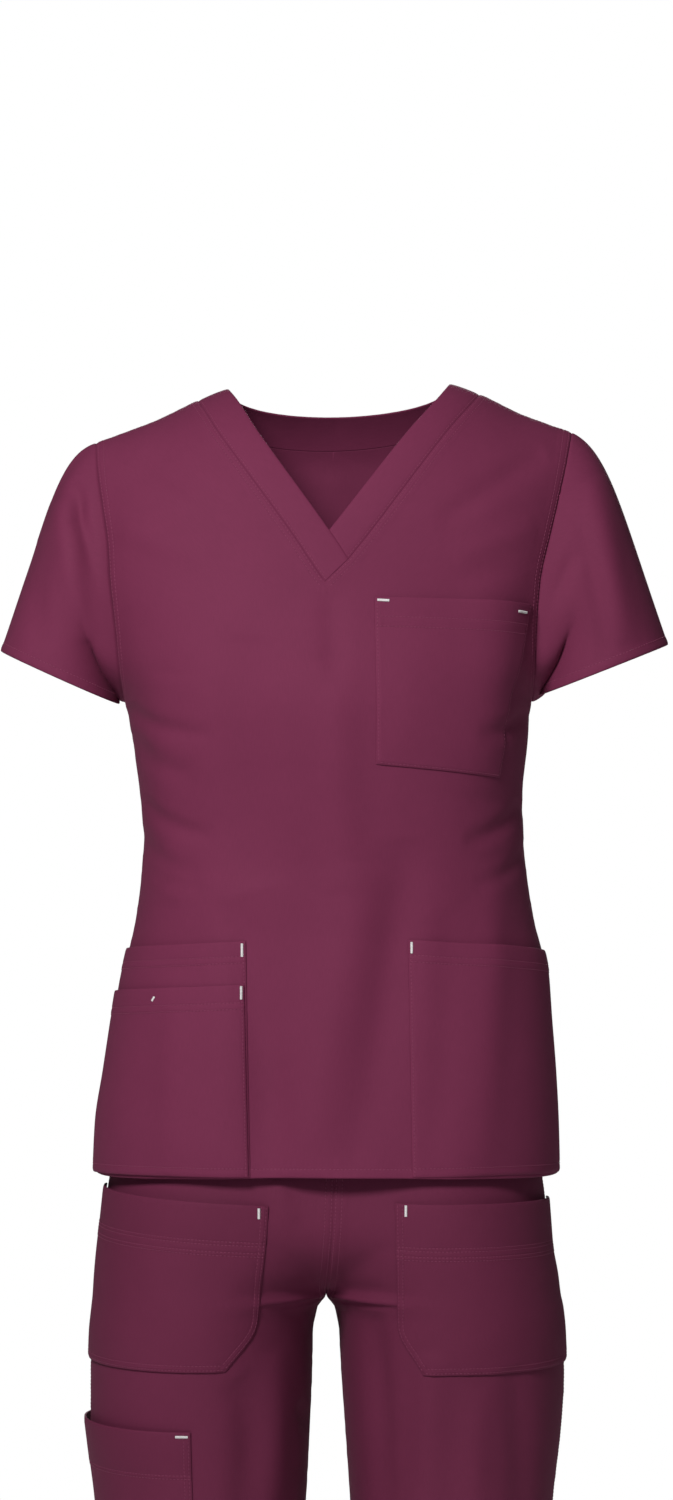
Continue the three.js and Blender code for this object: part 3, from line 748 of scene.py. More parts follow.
def noise_node(tree, place, scale, detail, roughness=0.5):
    node = tree.nodes.new("ShaderNodeTexNoise")
    node.inputs["Scale"].default_value = scale
    node.inputs["Detail"].default_value = detail
    node.inputs["Roughness"].default_value = roughness
    tree.links.new(place, node.inputs["Vector"])
    return node.outputs["Fac"]


def bump_node(tree, height, strength, distance, normal=None):
    node = tree.nodes.new("ShaderNodeBump")
    node.inputs["Strength"].default_value = strength
    node.inputs["Distance"].default_value = distance
    tree.links.new(height, node.inputs["Height"])
    if normal is not None:
        tree.links.new(normal, node.inputs["Normal"])
    return node.outputs["Normal"]


def ramp_node(tree, value, stops):
    node = tree.nodes.new("ShaderNodeValToRGB")
    elements = node.color_ramp.elements
    for element, (place, colour) in zip(elements, stops):
        element.position = place
        element.color = (*colour, 1)
    tree.links.new(value, node.inputs["Fac"])
    return node.outputs["Color"]


def poplin(name, colour, shade):
    """Plain-woven stretch poplin: fine threads, faint slubs, clouded dye and soft wrinkles."""
    material = bpy.data.materials.new(name)
    material.use_nodes = True
    tree = material.node_tree
    links = tree.links
    shader = tree.nodes["Principled BSDF"]
    shader.inputs["Specular IOR Level"].default_value = 0.1
    shader.inputs["Sheen Weight"].default_value = 0.03
    shader.inputs["Sheen Roughness"].default_value = 0.45
    shader.inputs["Sheen Tint"].default_value = (0.9, 0.4, 0.55, 1)
    uv = tree.nodes.new("ShaderNodeUVMap")
    uv.uv_map = "cloth"
    parts = tree.nodes.new("ShaderNodeSeparateXYZ")
    links.new(uv.outputs["UV"], parts.inputs[0])
    turns = 2 * math.pi / 0.0008
    warp = math_node(tree, "SINE", math_node(tree, "MULTIPLY", parts.outputs["X"], turns))
    weft = math_node(tree, "SINE", math_node(tree, "MULTIPLY", parts.outputs["Y"], turns))
    weave = math_node(tree, "MULTIPLY", warp, weft)
    place = tree.nodes.new("ShaderNodeTexCoord").outputs["Object"]
    cloud = noise_node(tree, place, 7, 6, 0.62)
    dye = ramp_node(tree, cloud, ((0.32, shade), (0.68, colour)))
    stretched = tree.nodes.new("ShaderNodeMapping")
    stretched.inputs["Scale"].default_value = (1800, 120, 1)
    links.new(uv.outputs["UV"], stretched.inputs["Vector"])
    slubs = noise_node(tree, stretched.outputs["Vector"], 1, 2)
    thread_tone = tree.nodes.new("ShaderNodeMix")
    thread_tone.data_type = "RGBA"
    thread_tone.blend_type = "MULTIPLY"
    thread_tone.inputs["Factor"].default_value = 0.5
    links.new(dye, thread_tone.inputs[6])
    grey = ramp_node(tree, slubs, ((0.25, (0.78, 0.78, 0.78)), (0.75, (1, 1, 1))))
    links.new(grey, thread_tone.inputs[7])
    links.new(thread_tone.outputs[2], shader.inputs["Base Color"])
    rough = tree.nodes.new("ShaderNodeMapRange")
    rough.inputs["To Min"].default_value = 0.66
    rough.inputs["To Max"].default_value = 0.78
    links.new(cloud, rough.inputs["Value"])
    links.new(rough.outputs["Result"], shader.inputs["Roughness"])
    soft = bump_node(tree, noise_node(tree, place, 38, 4, 0.55), 0.22, 0.0016)
    fine = bump_node(tree, weave, 0.4, 0.00007, soft)
    links.new(fine, shader.inputs["Normal"])
    return material


def thread_cloth(name, colour):
    """Twisted sewing thread."""
    material = bpy.data.materials.new(name)
    material.use_nodes = True
    tree = material.node_tree
    shader = tree.nodes["Principled BSDF"]
    shader.inputs["Roughness"].default_value = 0.6
    shader.inputs["Specular IOR Level"].default_value = 0.2
    place = tree.nodes.new("ShaderNodeTexCoord").outputs["Object"]
    twist = noise_node(tree, place, 2600, 2)
    darker = tuple(0.82 * part for part in colour)
    tone = ramp_node(tree, twist, ((0.3, darker), (0.7, tuple(colour))))
    tree.links.new(tone, shader.inputs["Base Color"])
    tree.links.new(bump_node(tree, twist, 0.3, 0.0001), shader.inputs["Normal"])
    return material


def material_of(slot, kind="cloth"):
    """The cloth or the thread of a material slot, made once."""
    name = slot + "_woven" if kind == "cloth" else slot + "_sewing"
    found = bpy.data.materials.get(name)
    if found:
        return found
    settings = bpy.context.scene.scrubs_cloth
    part = "tunic" if slot == "tunic_poplin" else "trouser"
    if kind == "thread":
        return thread_cloth(name, getattr(settings, part + "_thread"))
    # The trousers' colour and shade carry painted shade for the dimmer light on the legs
    colour, shade = getattr(settings, part + "_colour"), getattr(settings, part + "_shade")
    return poplin(name, colour, shade)


def from_axis(points):
    """Away from the upright line through the middle of the garment."""
    return points * (1, 1, 0)


def from_leg(side):
    return lambda points: (points - (side * 60, 0, 0)) * (1, 1, 0)


def thread_rows(grid, normals, edge, axis, clear=()):
    """The rows of stitches along a sewn edge of a grid."""
    rows = []
    for inset in edge.rows:
        line = stitched_line(
            grid, normals, edge.distance, inset, axis, [other.distance for other in clear]
        )
        rows.append(thread_row(*line))
    return rows


# Tunic panels

# Soft folds of the tunic as worn: face, three points across and up, half width, and height
TUNIC_CREASES = [
    (-1, (-59, -196), (-63, -290), (-55, -385), 27, -2.6),
    (-1, (-123, -225), (-126, -305), (-118, -400), 20, 1.9),
    (-1, (5, -215), (9, -305), (14, -390), 19, 1.7),
    (-1, (-154, -247), (-135, -261), (-90, -272), 7, -1.5),
    (-1, (-151, -268), (-134, -288), (-100, -304), 9, -1.3),
    (-1, (156, -250), (138, -264), (112, -270), 8, -1.4),
    (-1, (-146, -57), (-104, -84), (-62, -118), 11, -1.1),
    (-1, (-163, -110), (-128, -125), (-92, -138), 10, 0.8),
    (-1, (168, -55), (130, -78), (85, -110), 11, -1.2),
    (-1, (160, -112), (128, -124), (96, -135), 10, 0.8),
    (-1, (2, -162), (4, -200), (6, -240), 12, -1.1),
    (-1, (122, -150), (127, -225), (116, -318), 27, 2.4),
    (-1, (26, -369), (5, -472), (-21, -606), 24, 2.4),
    (-1, (60, -350), (43, -472), (18, -606), 19, -2.0),
    (-1, (-72, -396), (-52, -494), (-46, -606), 17, -1.8),
    (-1, (-141, -318), (-121, -337), (-88, -348), 7, -1.5),
    (-1, (-146, -344), (-127, -366), (-98, -377), 9, -1.2),
    (-1, (-140, -372), (-118, -384), (-96, -386), 6, -0.8),
    (-1, (150, -322), (132, -342), (104, -352), 8, -1.6),
    (-1, (156, -352), (140, -374), (112, -384), 7, -1.1),
    (-1, (128, -366), (122, -472), (115, -606), 16, 1.8),
    (-1, (-112, -452), (-116, -530), (-118, -606), 15, 1.6),
    (-1, (90, -400), (88, -500), (80, -606), 13, -1.2),
    (1, (-60, -60), (-52, -160), (-40, -270), 24, 1.6),
    (1, (64, -70), (54, -170), (44, -260), 22, 1.4),
    (1, (-150, -250), (-120, -262), (-82, -268), 8, -1.6),
    (1, (-148, -276), (-116, -292), (-86, -296), 10, -1.2),
    (1, (152, -248), (124, -262), (90, -272), 9, -1.6),
    (1, (-140, -322), (-90, -340), (-28, -338), 9, -2.0),
    (1, (146, -330), (96, -350), (40, -352), 9, -1.8),
    (1, (-132, -352), (-84, -366), (-36, -372), 8, -1.2),
    (1, (-96, -380), (-104, -490), (-112, -606), 19, 2.4),
    (1, (-34, -372), (-38, -480), (-44, -606), 18, -2.4),
    (1, (26, -384), (30, -480), (28, -606), 20, 2.2),
    (1, (88, -376), (94, -490), (98, -606), 17, -2.0),
    (1, (0, -60), (2, -120), (1, -190), 20, -1.2),
]

PANEL_STEPS = {
    -1: (0, 0.12, 0.3, 0.48, 0.64, 0.78, 0.885, 0.955, 1),
    1: (0, 0.16, 0.32, 0.48, 0.63, 0.77, 0.89, 1),
}
HEM_FOLD = 6.5


def panel_places(side, face, rows, across):
    """Places of a half panel. Rows run 0 to 24 from the hem over the armpit to the shoulder,
    across from 0 at the centre or the neck seam to 1 at the side seam or the armhole."""
    steps = PANEL_STEPS[face]
    centre_top = V_SEAM_Z if face < 0 else BACK_SEAM_Z
    centre_rows = 12 - (len(steps) - 1)
    row = rows[:, None]
    angle = across * math.pi / 2
    hem = HEM_Z - HEM_SIDE_DROP * np.sin(angle) ** 2
    low_z = lerp(hem, ARMPIT_Z, np.clip(row / 12, 0, 1))
    low_x = tunic_half(side + 0 * low_z, low_z) * np.sin(angle)
    upper = np.clip(row - 12, 0, 12)
    way = np.interp(upper - centre_rows, np.arange(len(steps)), steps)
    if face < 0:
        seam_x, seam_z = front_neck_seam(side, way)
    else:
        seam_x, seam_z = back_neck_line(NECK_SEAM_X, BACK_SEAM_Z, way)
    at_centre = upper <= centre_rows
    inner_x = np.where(at_centre, 0, seam_x)
    inner_z = np.where(at_centre, lerp(ARMPIT_Z, centre_top, upper / centre_rows), seam_z)
    outer_x, outer_z = armhole(upper * math.pi / 12)
    level = lerp(inner_z, outer_z, across)
    inner_angle = np.arcsin(inner_x / tunic_half(side + 0 * inner_z, inner_z))
    outer_angle = np.arcsin(np.minimum(outer_x / tunic_half(side + 0 * outer_z, outer_z), 1))
    high_x = tunic_half(side + 0 * level, level) * np.sin(lerp(inner_angle, outer_angle, across))
    high_x = np.where(across == 0, inner_x, np.where(across == 1, outer_x, high_x))
    under = lerp(crest_z(inner_x) - inner_z, crest_z(outer_x) - outer_z, across)
    high_z = lerp(level, crest_z(high_x) - under, upper / 12)
    high_z = np.where(across == 0, inner_z, np.where(across == 1, outer_z, high_z))
    low = row <= 12
    return side * np.where(low, low_x, high_x), np.where(low, low_z, high_z)


def panel_grid(side, face):
    """Places of a half panel in even paces of cloth, closer together by the seams."""
    lower = paces(360, 3.6, (0, 1, 2.4, 4.2, 5.6, 6.5, 7.4, 9, 11.5), (0,))[0] * 12
    last = 12 - np.array(FINE[::-1]) / 23
    upper = np.concatenate([finer(np.arange(12), 6), [11.2, 11.4], last]) + 12
    rows = np.concatenate([lower, upper[1:]])
    coarse = np.linspace(0, 1, 33)[None, :]
    points = tunic_skin(face, *panel_places(side, face, rows, coarse + 0 * rows[:, None]))
    lengths = grid_lengths(points)[0]
    shares = paces(lengths[:, -1], 4.6)
    across = np.array(
        [np.interp(share * run[-1], run, coarse[0]) for share, run in zip(shares, lengths)]
    )
    across[:, 0], across[:, -1] = 0, 1
    return rows, *panel_places(side, face, rows, across)


def join_halves(one, other, places):
    """Gives two halves' heights the same values where they meet."""
    one[places] = other[places] = (one[places] + other[places]) / 2


class SCRUBS_OT_tunic_panels(Operator):
    """Sews the front and the back of the tunic"""

    bl_idname = "scrubs.tunic_panels"
    bl_label = "Tunic front and back"

    def execute(self, context):
        for face, node in ((-1, "top_front"), (1, "top_back")):
            halves, grids, threads = [], [], []
            for side in (-1, 1):
                rows, x, z = panel_grid(side, face)
                skin = tunic_skin(face, x, z)
                normals = unit(tunic_skin(face, x, z, 1.0) - skin)
                lower = rows <= 12 + 1e-9
                neck_start = 24 - len(PANEL_STEPS[face]) + 1
                neck = rows >= neck_start - 1e-9
                hem = Edge(skin, skin[0], (HEM_FOLD,), HEM_FOLD, 0.3, 0.12, 1.0)
                sides = Edge(skin, skin[lower, -1], (), 0, 0.5, 0.22, 2.0 + side)
                sleeve = Edge(skin, skin[~lower, -1], (1.8, 6.6), 9, 0.5, 0.16, 3.0 + side)
                neckline = Edge(skin, skin[neck, 0], (1.6, 5.2), 7, 0.5, 0.14, 4.0)
                shoulder = Edge(skin, skin[-1], (1.8,), 0, 0.5, 0.12, 5.0)
                soft = creases(TUNIC_CREASES, skin)
                edges = (hem, sides, sleeve, neckline, shoulder)
                relief = soft + sum(edge.height() for edge in edges)
                halves.append((x, z, normals, soft, relief, edges))
            middle = (rows <= neck_start + 1e-9, 0)
            join_halves(halves[0][4], halves[1][4], middle)
            for x, z, normals, soft, relief, edges in halves:
                outer = tunic_skin(face, x, z, relief)
                grids.append((outer, tunic_skin(face, x, z, soft - CLOTH)))
                hem, _, sleeve, neckline, shoulder = edges
                threads += thread_rows(outer, normals, hem, 0)
                threads += thread_rows(outer, normals, sleeve, 1)
                threads += thread_rows(outer, normals, neckline, 1)
                if face < 0:
                    threads += thread_rows(outer, normals, shoulder, 0)
            piece = sew(node + "_cloth", grids, material_of("tunic_poplin"), from_axis)
            dress(piece, node, "tunic_poplin", threads)
        return {"FINISHED"}


# Neckband


def band_strip(face, side, seam, edge):
    """Places and heights of a strip of neckband between two lines, and its sewn edge."""
    width = math.hypot(NECK_SEAM_X - NECK_EDGE_X, float(crest_z(NECK_SEAM_X) - crest_z(NECK_EDGE_X)))
    across = paces(width, 2.6, (0, 0.7, 1.5, 2.6, 4), (0, 0.7, 1.5, 2.6, 4))
    across = lerp(SEAM_GAP / width, 1, across)
    seam_x, seam_z = (value[:, None] for value in seam)
    edge_x, edge_z = (value[:, None] for value in edge)
    x = lerp(seam_x, edge_x, across)
    z = crest_z(x) - lerp(crest_z(seam_x) - seam_z, crest_z(edge_x) - edge_z, across)
    skin = tunic_skin(face, side * x, z)
    sewn = Edge(skin, skin[:, 0], (1.5,), 0, 0.45, 0.12, 6.0)
    free = Edge(skin, skin[:, -1], (), 0, 0.35, 0.08, 7.0)
    crown = 0.55 * (1 - (2 * across - 1) ** 2)
    return side * x, z, crown + sewn.height() + free.height(), sewn


def band_wall(face, strip):
    x, z, relief, sewn = strip
    normals = unit(tunic_skin(face, x, z, 1.0) - tunic_skin(face, x, z))
    outer = tunic_skin(face, x, z, relief)
    inner = tunic_skin(face, x, z, 0 * x - CLOTH)
    return (outer, inner), thread_rows(outer, normals, sewn, 1)


class SCRUBS_OT_neckband(Operator):
    """Sews the three strips of the neckband"""

    bl_idname = "scrubs.neckband"
    bl_label = "Neckband"

    def execute(self, context):
        cloth = material_of("tunic_poplin")
        span = math.hypot(NECK_SEAM_X, float(crest_z(NECK_SEAM_X)) - V_SEAM_Z)
        for side, node in ((-1, "neckband_right"), (1, "neckband_left")):
            first = 0 if side < 0 else LAP_STEP
            way = lerp(first + SEAM_GAP / span, 1, paces(190, 3)[0])
            share = (way - first) / (1 - first)
            end_x, end_z = (-LAP_X, LAP_Z) if side < 0 else (0, V_EDGE_Z)
            edge = (
                lerp(end_x, NECK_EDGE_X, share),
                lerp(end_z, float(crest_z(NECK_EDGE_X)), share),
            )
            strip = band_strip(-1, side, front_neck_seam(side, way), edge)
            walls, threads = band_wall(-1, strip)
            piece = sew(node + "_cloth", [walls], cloth, from_axis)
            dress(piece, node, "tunic_poplin", threads)
        way = paces(140, 3, (0,))[0]
        seam = back_neck_line(NECK_SEAM_X, BACK_SEAM_Z, way)
        edge = back_neck_line(NECK_EDGE_X, BACK_EDGE_Z, way)
        strips = [band_strip(1, side, seam, edge) for side in (-1, 1)]
        join_halves(strips[0][2], strips[1][2], 0)
        walls, threads = zip(*(band_wall(1, strip) for strip in strips))
        piece = sew("neckband_back_cloth", walls, cloth, from_axis)
        dress(piece, "neckband_back", "tunic_poplin", sum(threads, []))
        return {"FINISHED"}


# Sleeves

# Soft folds of the sleeves, as for the tunic
SLEEVE_CREASES = [
    (-1, (-196, -72), (-184, -117), (-169, -160), 9, -3.2),
    (-1, (-209, -88), (-199, -136), (-186, -200), 11, 1.8),
    (-1, (-176, -60), (-189, -92), (-193, -112), 8, -1.4),
    (-1, (-222, -120), (-224, -160), (-220, -205), 12, -1.2),
    (-1, (182, -62), (171, -105), (165, -155), 8, -2.4),
    (-1, (160, -172), (172, -160), (190, -128), 9, -2.0),
    (-1, (202, -72), (214, -128), (228, -200), 14, 2.0),
    (-1, (194, -110), (206, -160), (214, -215), 9, -1.2),
    (1, (-192, -76), (-182, -120), (-172, -168), 10, -2.6),
    (1, (-212, -96), (-208, -150), (-200, -215), 12, 1.8),
    (1, (188, -74), (178, -118), (170, -166), 10, -2.4),
    (1, (214, -92), (216, -150), (210, -212), 12, 1.8),
]


def bezier(points, t):
    a, b, c, d = points
    s = 1 - t
    return s**3 * a + 3 * s * s * t * b + 3 * s * t * t * c + t**3 * d


# How far a sleeve's edge goes in under the edge of the armhole: across, back and down
SLEEVE_TUCK = (3.36, 1.92, 2.4)


def sleeve_grid(side, places, ways):
    """Rings of a sleeve. Places run 0 to 24 from under the arm over the front and back."""
    outer_x, outer_z, inner_x, inner_z, half_depth, dip = SLEEVE_HEMS[side]
    turn = places * math.pi / 12
    in_front = (places <= 12)[:, None]
    seam_x, seam_z = armhole(np.where(in_front[:, 0], turn, 2 * math.pi - turn))
    start = normal = 0
    for face, here in ((-1, in_front), (1, ~in_front)):
        skin = tunic_skin(face, side * seam_x, seam_z)
        start = start + here * (skin - (0, face * SEAM_GAP / 2, 0))
        normal = normal + here * unit(tunic_skin(face, side * seam_x, seam_z, 1.0) - skin)
    up = (1 - np.cos(turn)) / 2
    toward_front = np.sin(turn)
    out = unit(np.stack([side + 0 * up, -0.25 * toward_front, lerp(0.35, -0.5, up)], -1))
    out = unit(out - normal * np.minimum((out * normal).sum(-1, keepdims=True), 0))
    down = unit(np.stack([side * lerp(-0.15, 0.35, up), 0 * up, -1 + 0 * up], -1))
    end = np.stack(
        [
            side * lerp(inner_x, outer_x, up),
            -half_depth * toward_front,
            lerp(inner_z, outer_z, up) - dip * np.maximum(toward_front, 0),
        ],
        -1,
    )
    start = start + (side * SEAM_GAP * 1.2, 0, 0)
    reach = lerp(48, 108, up)[:, None]
    curves = [curve[None] for curve in (start, start + out * 32, end - down * reach, end)]
    return bezier(curves, ways[:, None, None])


def sleeve_tuck(side, places):
    """How far a sleeve's first ring goes in under the edge of the tunic's armhole."""
    turn = places * math.pi / 12
    level = np.cos(turn)
    under = -(1 + level / 6) * np.abs(level)
    return np.stack([0 * turn - side, np.sin(turn), under], -1) * SLEEVE_TUCK


class SCRUBS_OT_sleeves(Operator):
    """Sews both sleeves"""

    bl_idname = "scrubs.sleeves"
    bl_label = "Sleeves"

    def execute(self, context):
        places = np.arange(24 * 5 + 1) / 5
        ways = paces(190, 3.6, FINE, (0, 1, 2.4, 4.2, 5.8, 6.8, 7.8, 10))[0]
        for side, node in ((-1, "sleeve_right"), (1, "sleeve_left")):
            skin = sleeve_grid(side, places, ways)
            middle = skin.mean((0, 1))

            def outward(points, middle=middle):
                return points - middle

            normals = grid_normals(skin, outward, ring=True)
            seam = Edge(skin, skin[0], (), 0, 0.5, 0.3, 8.0 + side)
            hem = Edge(skin, skin[-1], (6.8,), 6.8, 0.3, 0.12, 9.0 + side)
            soft = creases(SLEEVE_CREASES, skin) * smoothstep(seam.distance, 2, 24)
            soft[:, -1] = soft[:, 0]
            relief = soft + seam.height() + hem.height()
            relief[:, -1] = relief[:, 0]
            outer = skin + normals * relief[..., None]
            inner = skin + normals * (soft - CLOTH)[..., None]
            for layer in (outer, inner):
                layer[0] += sleeve_tuck(side, places)
            piece = sew(node + "_cloth", [(outer, inner)], material_of("tunic_poplin"), outward)
            threads = thread_rows(outer, normals, hem, 0)
            dress(piece, node, "tunic_poplin", threads)
        return {"FINISHED"}


# Tunic pockets

# Rows of stitches across each pocket under its mouth, how far the mouth stands open, and where
# across it opens most
TUNIC_MOUTHS = {
    "chest_pocket": ((15.5, 23), 3.6, 0.8),
    "lower_pocket_right": ((11.5, 16.5), 1.4, 0.6),
    "lower_pocket_right_outer": ((13.5, 18.5), 1.8, 0.6),
    "lower_pocket_left": ((11.5, 16.5), 2.4, 0.55),
}


def mouth_paces(length, rows, step):
    """Shares of a length, close together at both ends and by rows of stitches."""
    fine = [0, 0.7, 1.5, 2.6, 4]
    for row in rows:
        fine += [row - 1.4, row - 0.7, row, row + 0.7, row + 1.4]
    return paces(length, step, tuple(sorted(fine)), FINE)[0]


def pocket_lift(lift, edges, mouth, across, gape, place):
    """Height of a patch pocket: sewn down at its edges, loose and a little open between."""
    sewn = np.minimum.reduce([edge.distance for edge in edges])
    loose = 0.9 * smoothstep(sewn, 2, 26)
    opened = gape * np.exp(-((mouth.distance / 20) ** 2))
    opened = opened * np.sin(math.pi * across) ** 0.7 * np.exp(-(((across - place) / 0.4) ** 2))
    flat = smoothstep(sewn, 0, 2.5)
    return lift - 0.45 * (1 - flat) + loose + opened + mouth.height()


class SCRUBS_OT_tunic_pockets(Operator):
    """Sews the chest pocket and the lower pockets on the tunic"""

    bl_idname = "scrubs.tunic_pockets"
    bl_label = "Tunic pockets"

    def execute(self, context):
        for node, sizes in TUNIC_POCKETS.items():
            side, top_x, bottom_x, angles, top_in, top_out, low_in, low_out, below = sizes
            rows, gape, place = TUNIC_MOUTHS[node]
            on_hem = low_in is None
            height = (top_in - HEM_Z) if on_hem else top_in - low_in
            down = mouth_paces(height, rows, 4)[:, None]
            across = paces(125 if on_hem else 118, 4)
            top = lerp(top_in, top_out, across)
            hem_z = HEM_Z - HEM_SIDE_DROP * across**2
            bottom = hem_z if on_hem else lerp(low_in, low_out, across)
            z = lerp(top, bottom, down)
            half = tunic_half(side + 0 * z, z)
            inner_angle = np.arcsin(lerp(top_x, bottom_x, down) / half)
            outer_angle = np.radians(lerp(*angles, down))
            x = side * half * np.sin(lerp(inner_angle, outer_angle, across))
            skin = tunic_skin(-1, x, z)
            normals = unit(tunic_skin(-1, x, z, 1.0) - skin)
            mouth = Edge(skin, skin[0], rows, rows[-1], 0.25, 0.1, 10.0 + below)
            inner = Edge(skin, skin[:, 0], (1.6,), 0, 0.25, 0.16, 11.0)
            outer_rows = () if on_hem else (1.6,)
            outer = Edge(skin, skin[:, -1], outer_rows, 0, 0.25, 0.12, 12.0)
            low_rows = (HEM_FOLD,) if on_hem else (1.6,)
            low = Edge(skin, skin[-1], low_rows, 0, 0.25, 0.12, 13.0)
            lift = (TUNIC_POCKET_LIFT + POCKET_CLOTH) * (below + 1)
            soft = creases(TUNIC_CREASES, skin)
            edges = (inner, outer, low)
            raised = pocket_lift(lift, edges, mouth, across, gape, place)
            relief = soft + raised + sum(edge.height() for edge in edges)
            outside = tunic_skin(-1, x, z, relief)
            inside = tunic_skin(-1, x, z, soft + raised - mouth.height() - POCKET_CLOTH)
            piece = sew(node + "_cloth", [(outside, inside)], material_of("tunic_poplin"), from_axis)
            threads = thread_rows(outside, normals, mouth, 0)
            threads += thread_rows(outside, normals, inner, 1, () if on_hem else (low,))
            threads += thread_rows(outside, normals, outer, 1, () if on_hem else (low,))
            threads += thread_rows(outside, normals, low, 0, () if on_hem else (inner, outer))
            dress(piece, node, "tunic_poplin", threads)
        return {"FINISHED"}


# Trousers

# Soft folds of the trousers, as for the tunic
TROUSER_CREASES = [
    (-1, (-5, -694), (-24, -672), (-48, -652), 9, -0.7),
    (-1, (-8, -701), (-34, -697), (-66, -686), 8, -0.4),
    (-1, (5, -693), (26, -672), (54, -655), 9, -0.6),
    (-1, (7, -701), (34, -694), (60, -702), 8, -0.3),
    (-1, (-24, -640), (-34, -625), (-36, -600), 9, 1.2),
    (-1, (80, -740), (76, -805), (73, -900), 14, 2.2),
    (-1, (34, -712), (40, -775), (44, -880), 10, -2.0),
    (-1, (-22, -786), (-18, -799), (-13, -814), 5, -1.6),
    (-1, (-70, -760), (-60, -805), (-66, -880), 14, -2.0),
    (-1, (-42, -742), (-40, -800), (-46, -890), 12, 1.8),
    (-1, (140, -750), (146, -805), (147, -880), 12, -1.6),
    (-1, (116, -766), (112, -830), (114, -900), 12, 1.4),
    (-1, (-150, -1010), (-100, -1026), (-46, -1020), 12, -2.0),
    (-1, (-140, -1052), (-98, -1064), (-52, -1058), 10, -1.4),
    (-1, (46, -1016), (96, -1030), (150, -1018), 12, -1.9),
    (-1, (58, -1060), (100, -1070), (140, -1060), 10, -1.4),
    (-1, (-96, -1090), (-98, -1240), (-97, -1470), 16, 2.4),
    (-1, (98, -1090), (97, -1240), (98, -1470), 16, 2.4),
    (-1, (-62, -1150), (-58, -1290), (-62, -1460), 14, -1.8),
    (-1, (132, -1160), (136, -1300), (134, -1460), 14, -1.8),
    (-1, (-150, -1420), (-110, -1436), (-60, -1428), 9, -1.3),
    (-1, (50, -1410), (96, -1430), (146, -1420), 9, -1.3),
    (1, (-6, -704), (-40, -710), (-92, -694), 10, -1.6),
    (1, (6, -704), (42, -712), (96, -696), 10, -1.6),
    (1, (-12, -726), (-60, -744), (-120, -736), 10, -2.4),
    (1, (12, -728), (58, -746), (122, -734), 10, -2.4),
    (1, (-30, -770), (-76, -786), (-136, -780), 11, -1.8),
    (1, (30, -774), (80, -790), (134, -778), 11, -1.8),
    (1, (-90, -800), (-92, -900), (-88, -1000), 15, 2.2),
    (1, (90, -800), (94, -900), (90, -1000), 15, 2.2),
    (1, (-150, -1016), (-100, -1030), (-44, -1014), 13, -3.0),
    (1, (44, -1012), (98, -1032), (150, -1018), 13, -3.0),
    (1, (-142, -1050), (-96, -1066), (-50, -1056), 11, -2.4),
    (1, (50, -1054), (98, -1068), (142, -1056), 11, -2.4),
    (1, (-130, -1090), (-94, -1104), (-62, -1098), 10, -1.6),
    (1, (62, -1096), (96, -1106), (132, -1098), 10, -1.6),
    (1, (-96, -1130), (-99, -1290), (-96, -1470), 17, 2.2),
    (1, (96, -1130), (99, -1290), (97, -1470), 17, 2.2),
    (1, (-60, -520), (-52, -570), (-44, -630), 18, -1.6),
    (1, (60, -520), (54, -570), (46, -630), 18, -1.6),
]
TROUSER_HEM = 22


def middle_seam_y(face, z):
    level = np.maximum(z, RISE_START_Z)
    full = np.where(face < 0, TROUSERS.read("front", level), TROUSERS.read("back", level))
    full = face * full * CENTRE_FLATTENING
    way = np.clip((RISE_START_Z - z) / (RISE_START_Z - CROTCH_Z), 0, 1)
    return np.where(z >= RISE_START_Z, full, lerp(CROTCH_Y, full, np.sqrt(1 - way * way)))


def leg_point(side, turn, z):
    """A point of a leg's skin. Turn runs from -1 at the front's inner edge over 0 at the outer
    seam to 1 at the back's inner edge."""
    turn, z = np.broadcast_arrays(np.asarray(turn, float), np.asarray(z, float))
    face = np.where(turn < 0, -1.0, 1.0)
    centre = INNER_SEAMS.read("centre", z)
    above = z > CROTCH_Z + ROW_SLACK
    below_y = CROTCH_Y * (1 - smoothstep(-z, -CROTCH_Z, -KNEE_Z))
    inner_x = centre + side * INNER_SEAMS.read("gap", z)
    inner_y = np.where(above, middle_seam_y(face, z), below_y)
    crown = np.where(face < 0, TROUSERS.read("front_x", z), TROUSERS.read("back_x", z))
    crown_x = centre / 2 + side * crown
    crown_y = face * np.where(face < 0, TROUSERS.read("front", z), TROUSERS.read("back", z))
    outer_x = side * TROUSERS.read("out_right" if side < 0 else "out_left", z)
    width = np.abs(crown_x - inner_x)
    height = np.abs(crown_y - inner_y)
    handle_x = np.where(above, side * width * INNER_SEAMS.read("reach", z) * ROUND, 0)
    handle_y = face * height * ROUND * smoothstep(-z, CLEFT_HEIGHT - CROTCH_Z, -CROTCH_Z)
    way = np.abs(turn)
    near = way > 0.5
    t = np.where(near, (1 - way) * 2, 1 - way * 2)
    xs = (
        np.where(near, inner_x, crown_x),
        np.where(near, inner_x + handle_x, lerp(crown_x, outer_x, ROUND)),
        np.where(near, crown_x - side * width * ROUND, outer_x),
        np.where(near, crown_x, outer_x),
    )
    ys = (
        np.where(near, inner_y, crown_y),
        np.where(near, inner_y + handle_y, crown_y),
        np.where(near, crown_y, crown_y * ROUND),
        np.where(near, crown_y, 0),
    )
    return np.stack([bezier(xs, t), bezier(ys, t), z], -1)


def turn_at(side, x, z):
    """The turn at which a leg's front lies at a distance from the centre."""
    inner = -1 + 0 * z
    outer = 0 * z
    for _ in range(30):
        middle = (inner + outer) / 2
        short = side * leg_point(side, middle, z)[..., 0] < x
        inner = np.where(short, middle, inner)
        outer = np.where(short, outer, middle)
    return (inner + outer) / 2


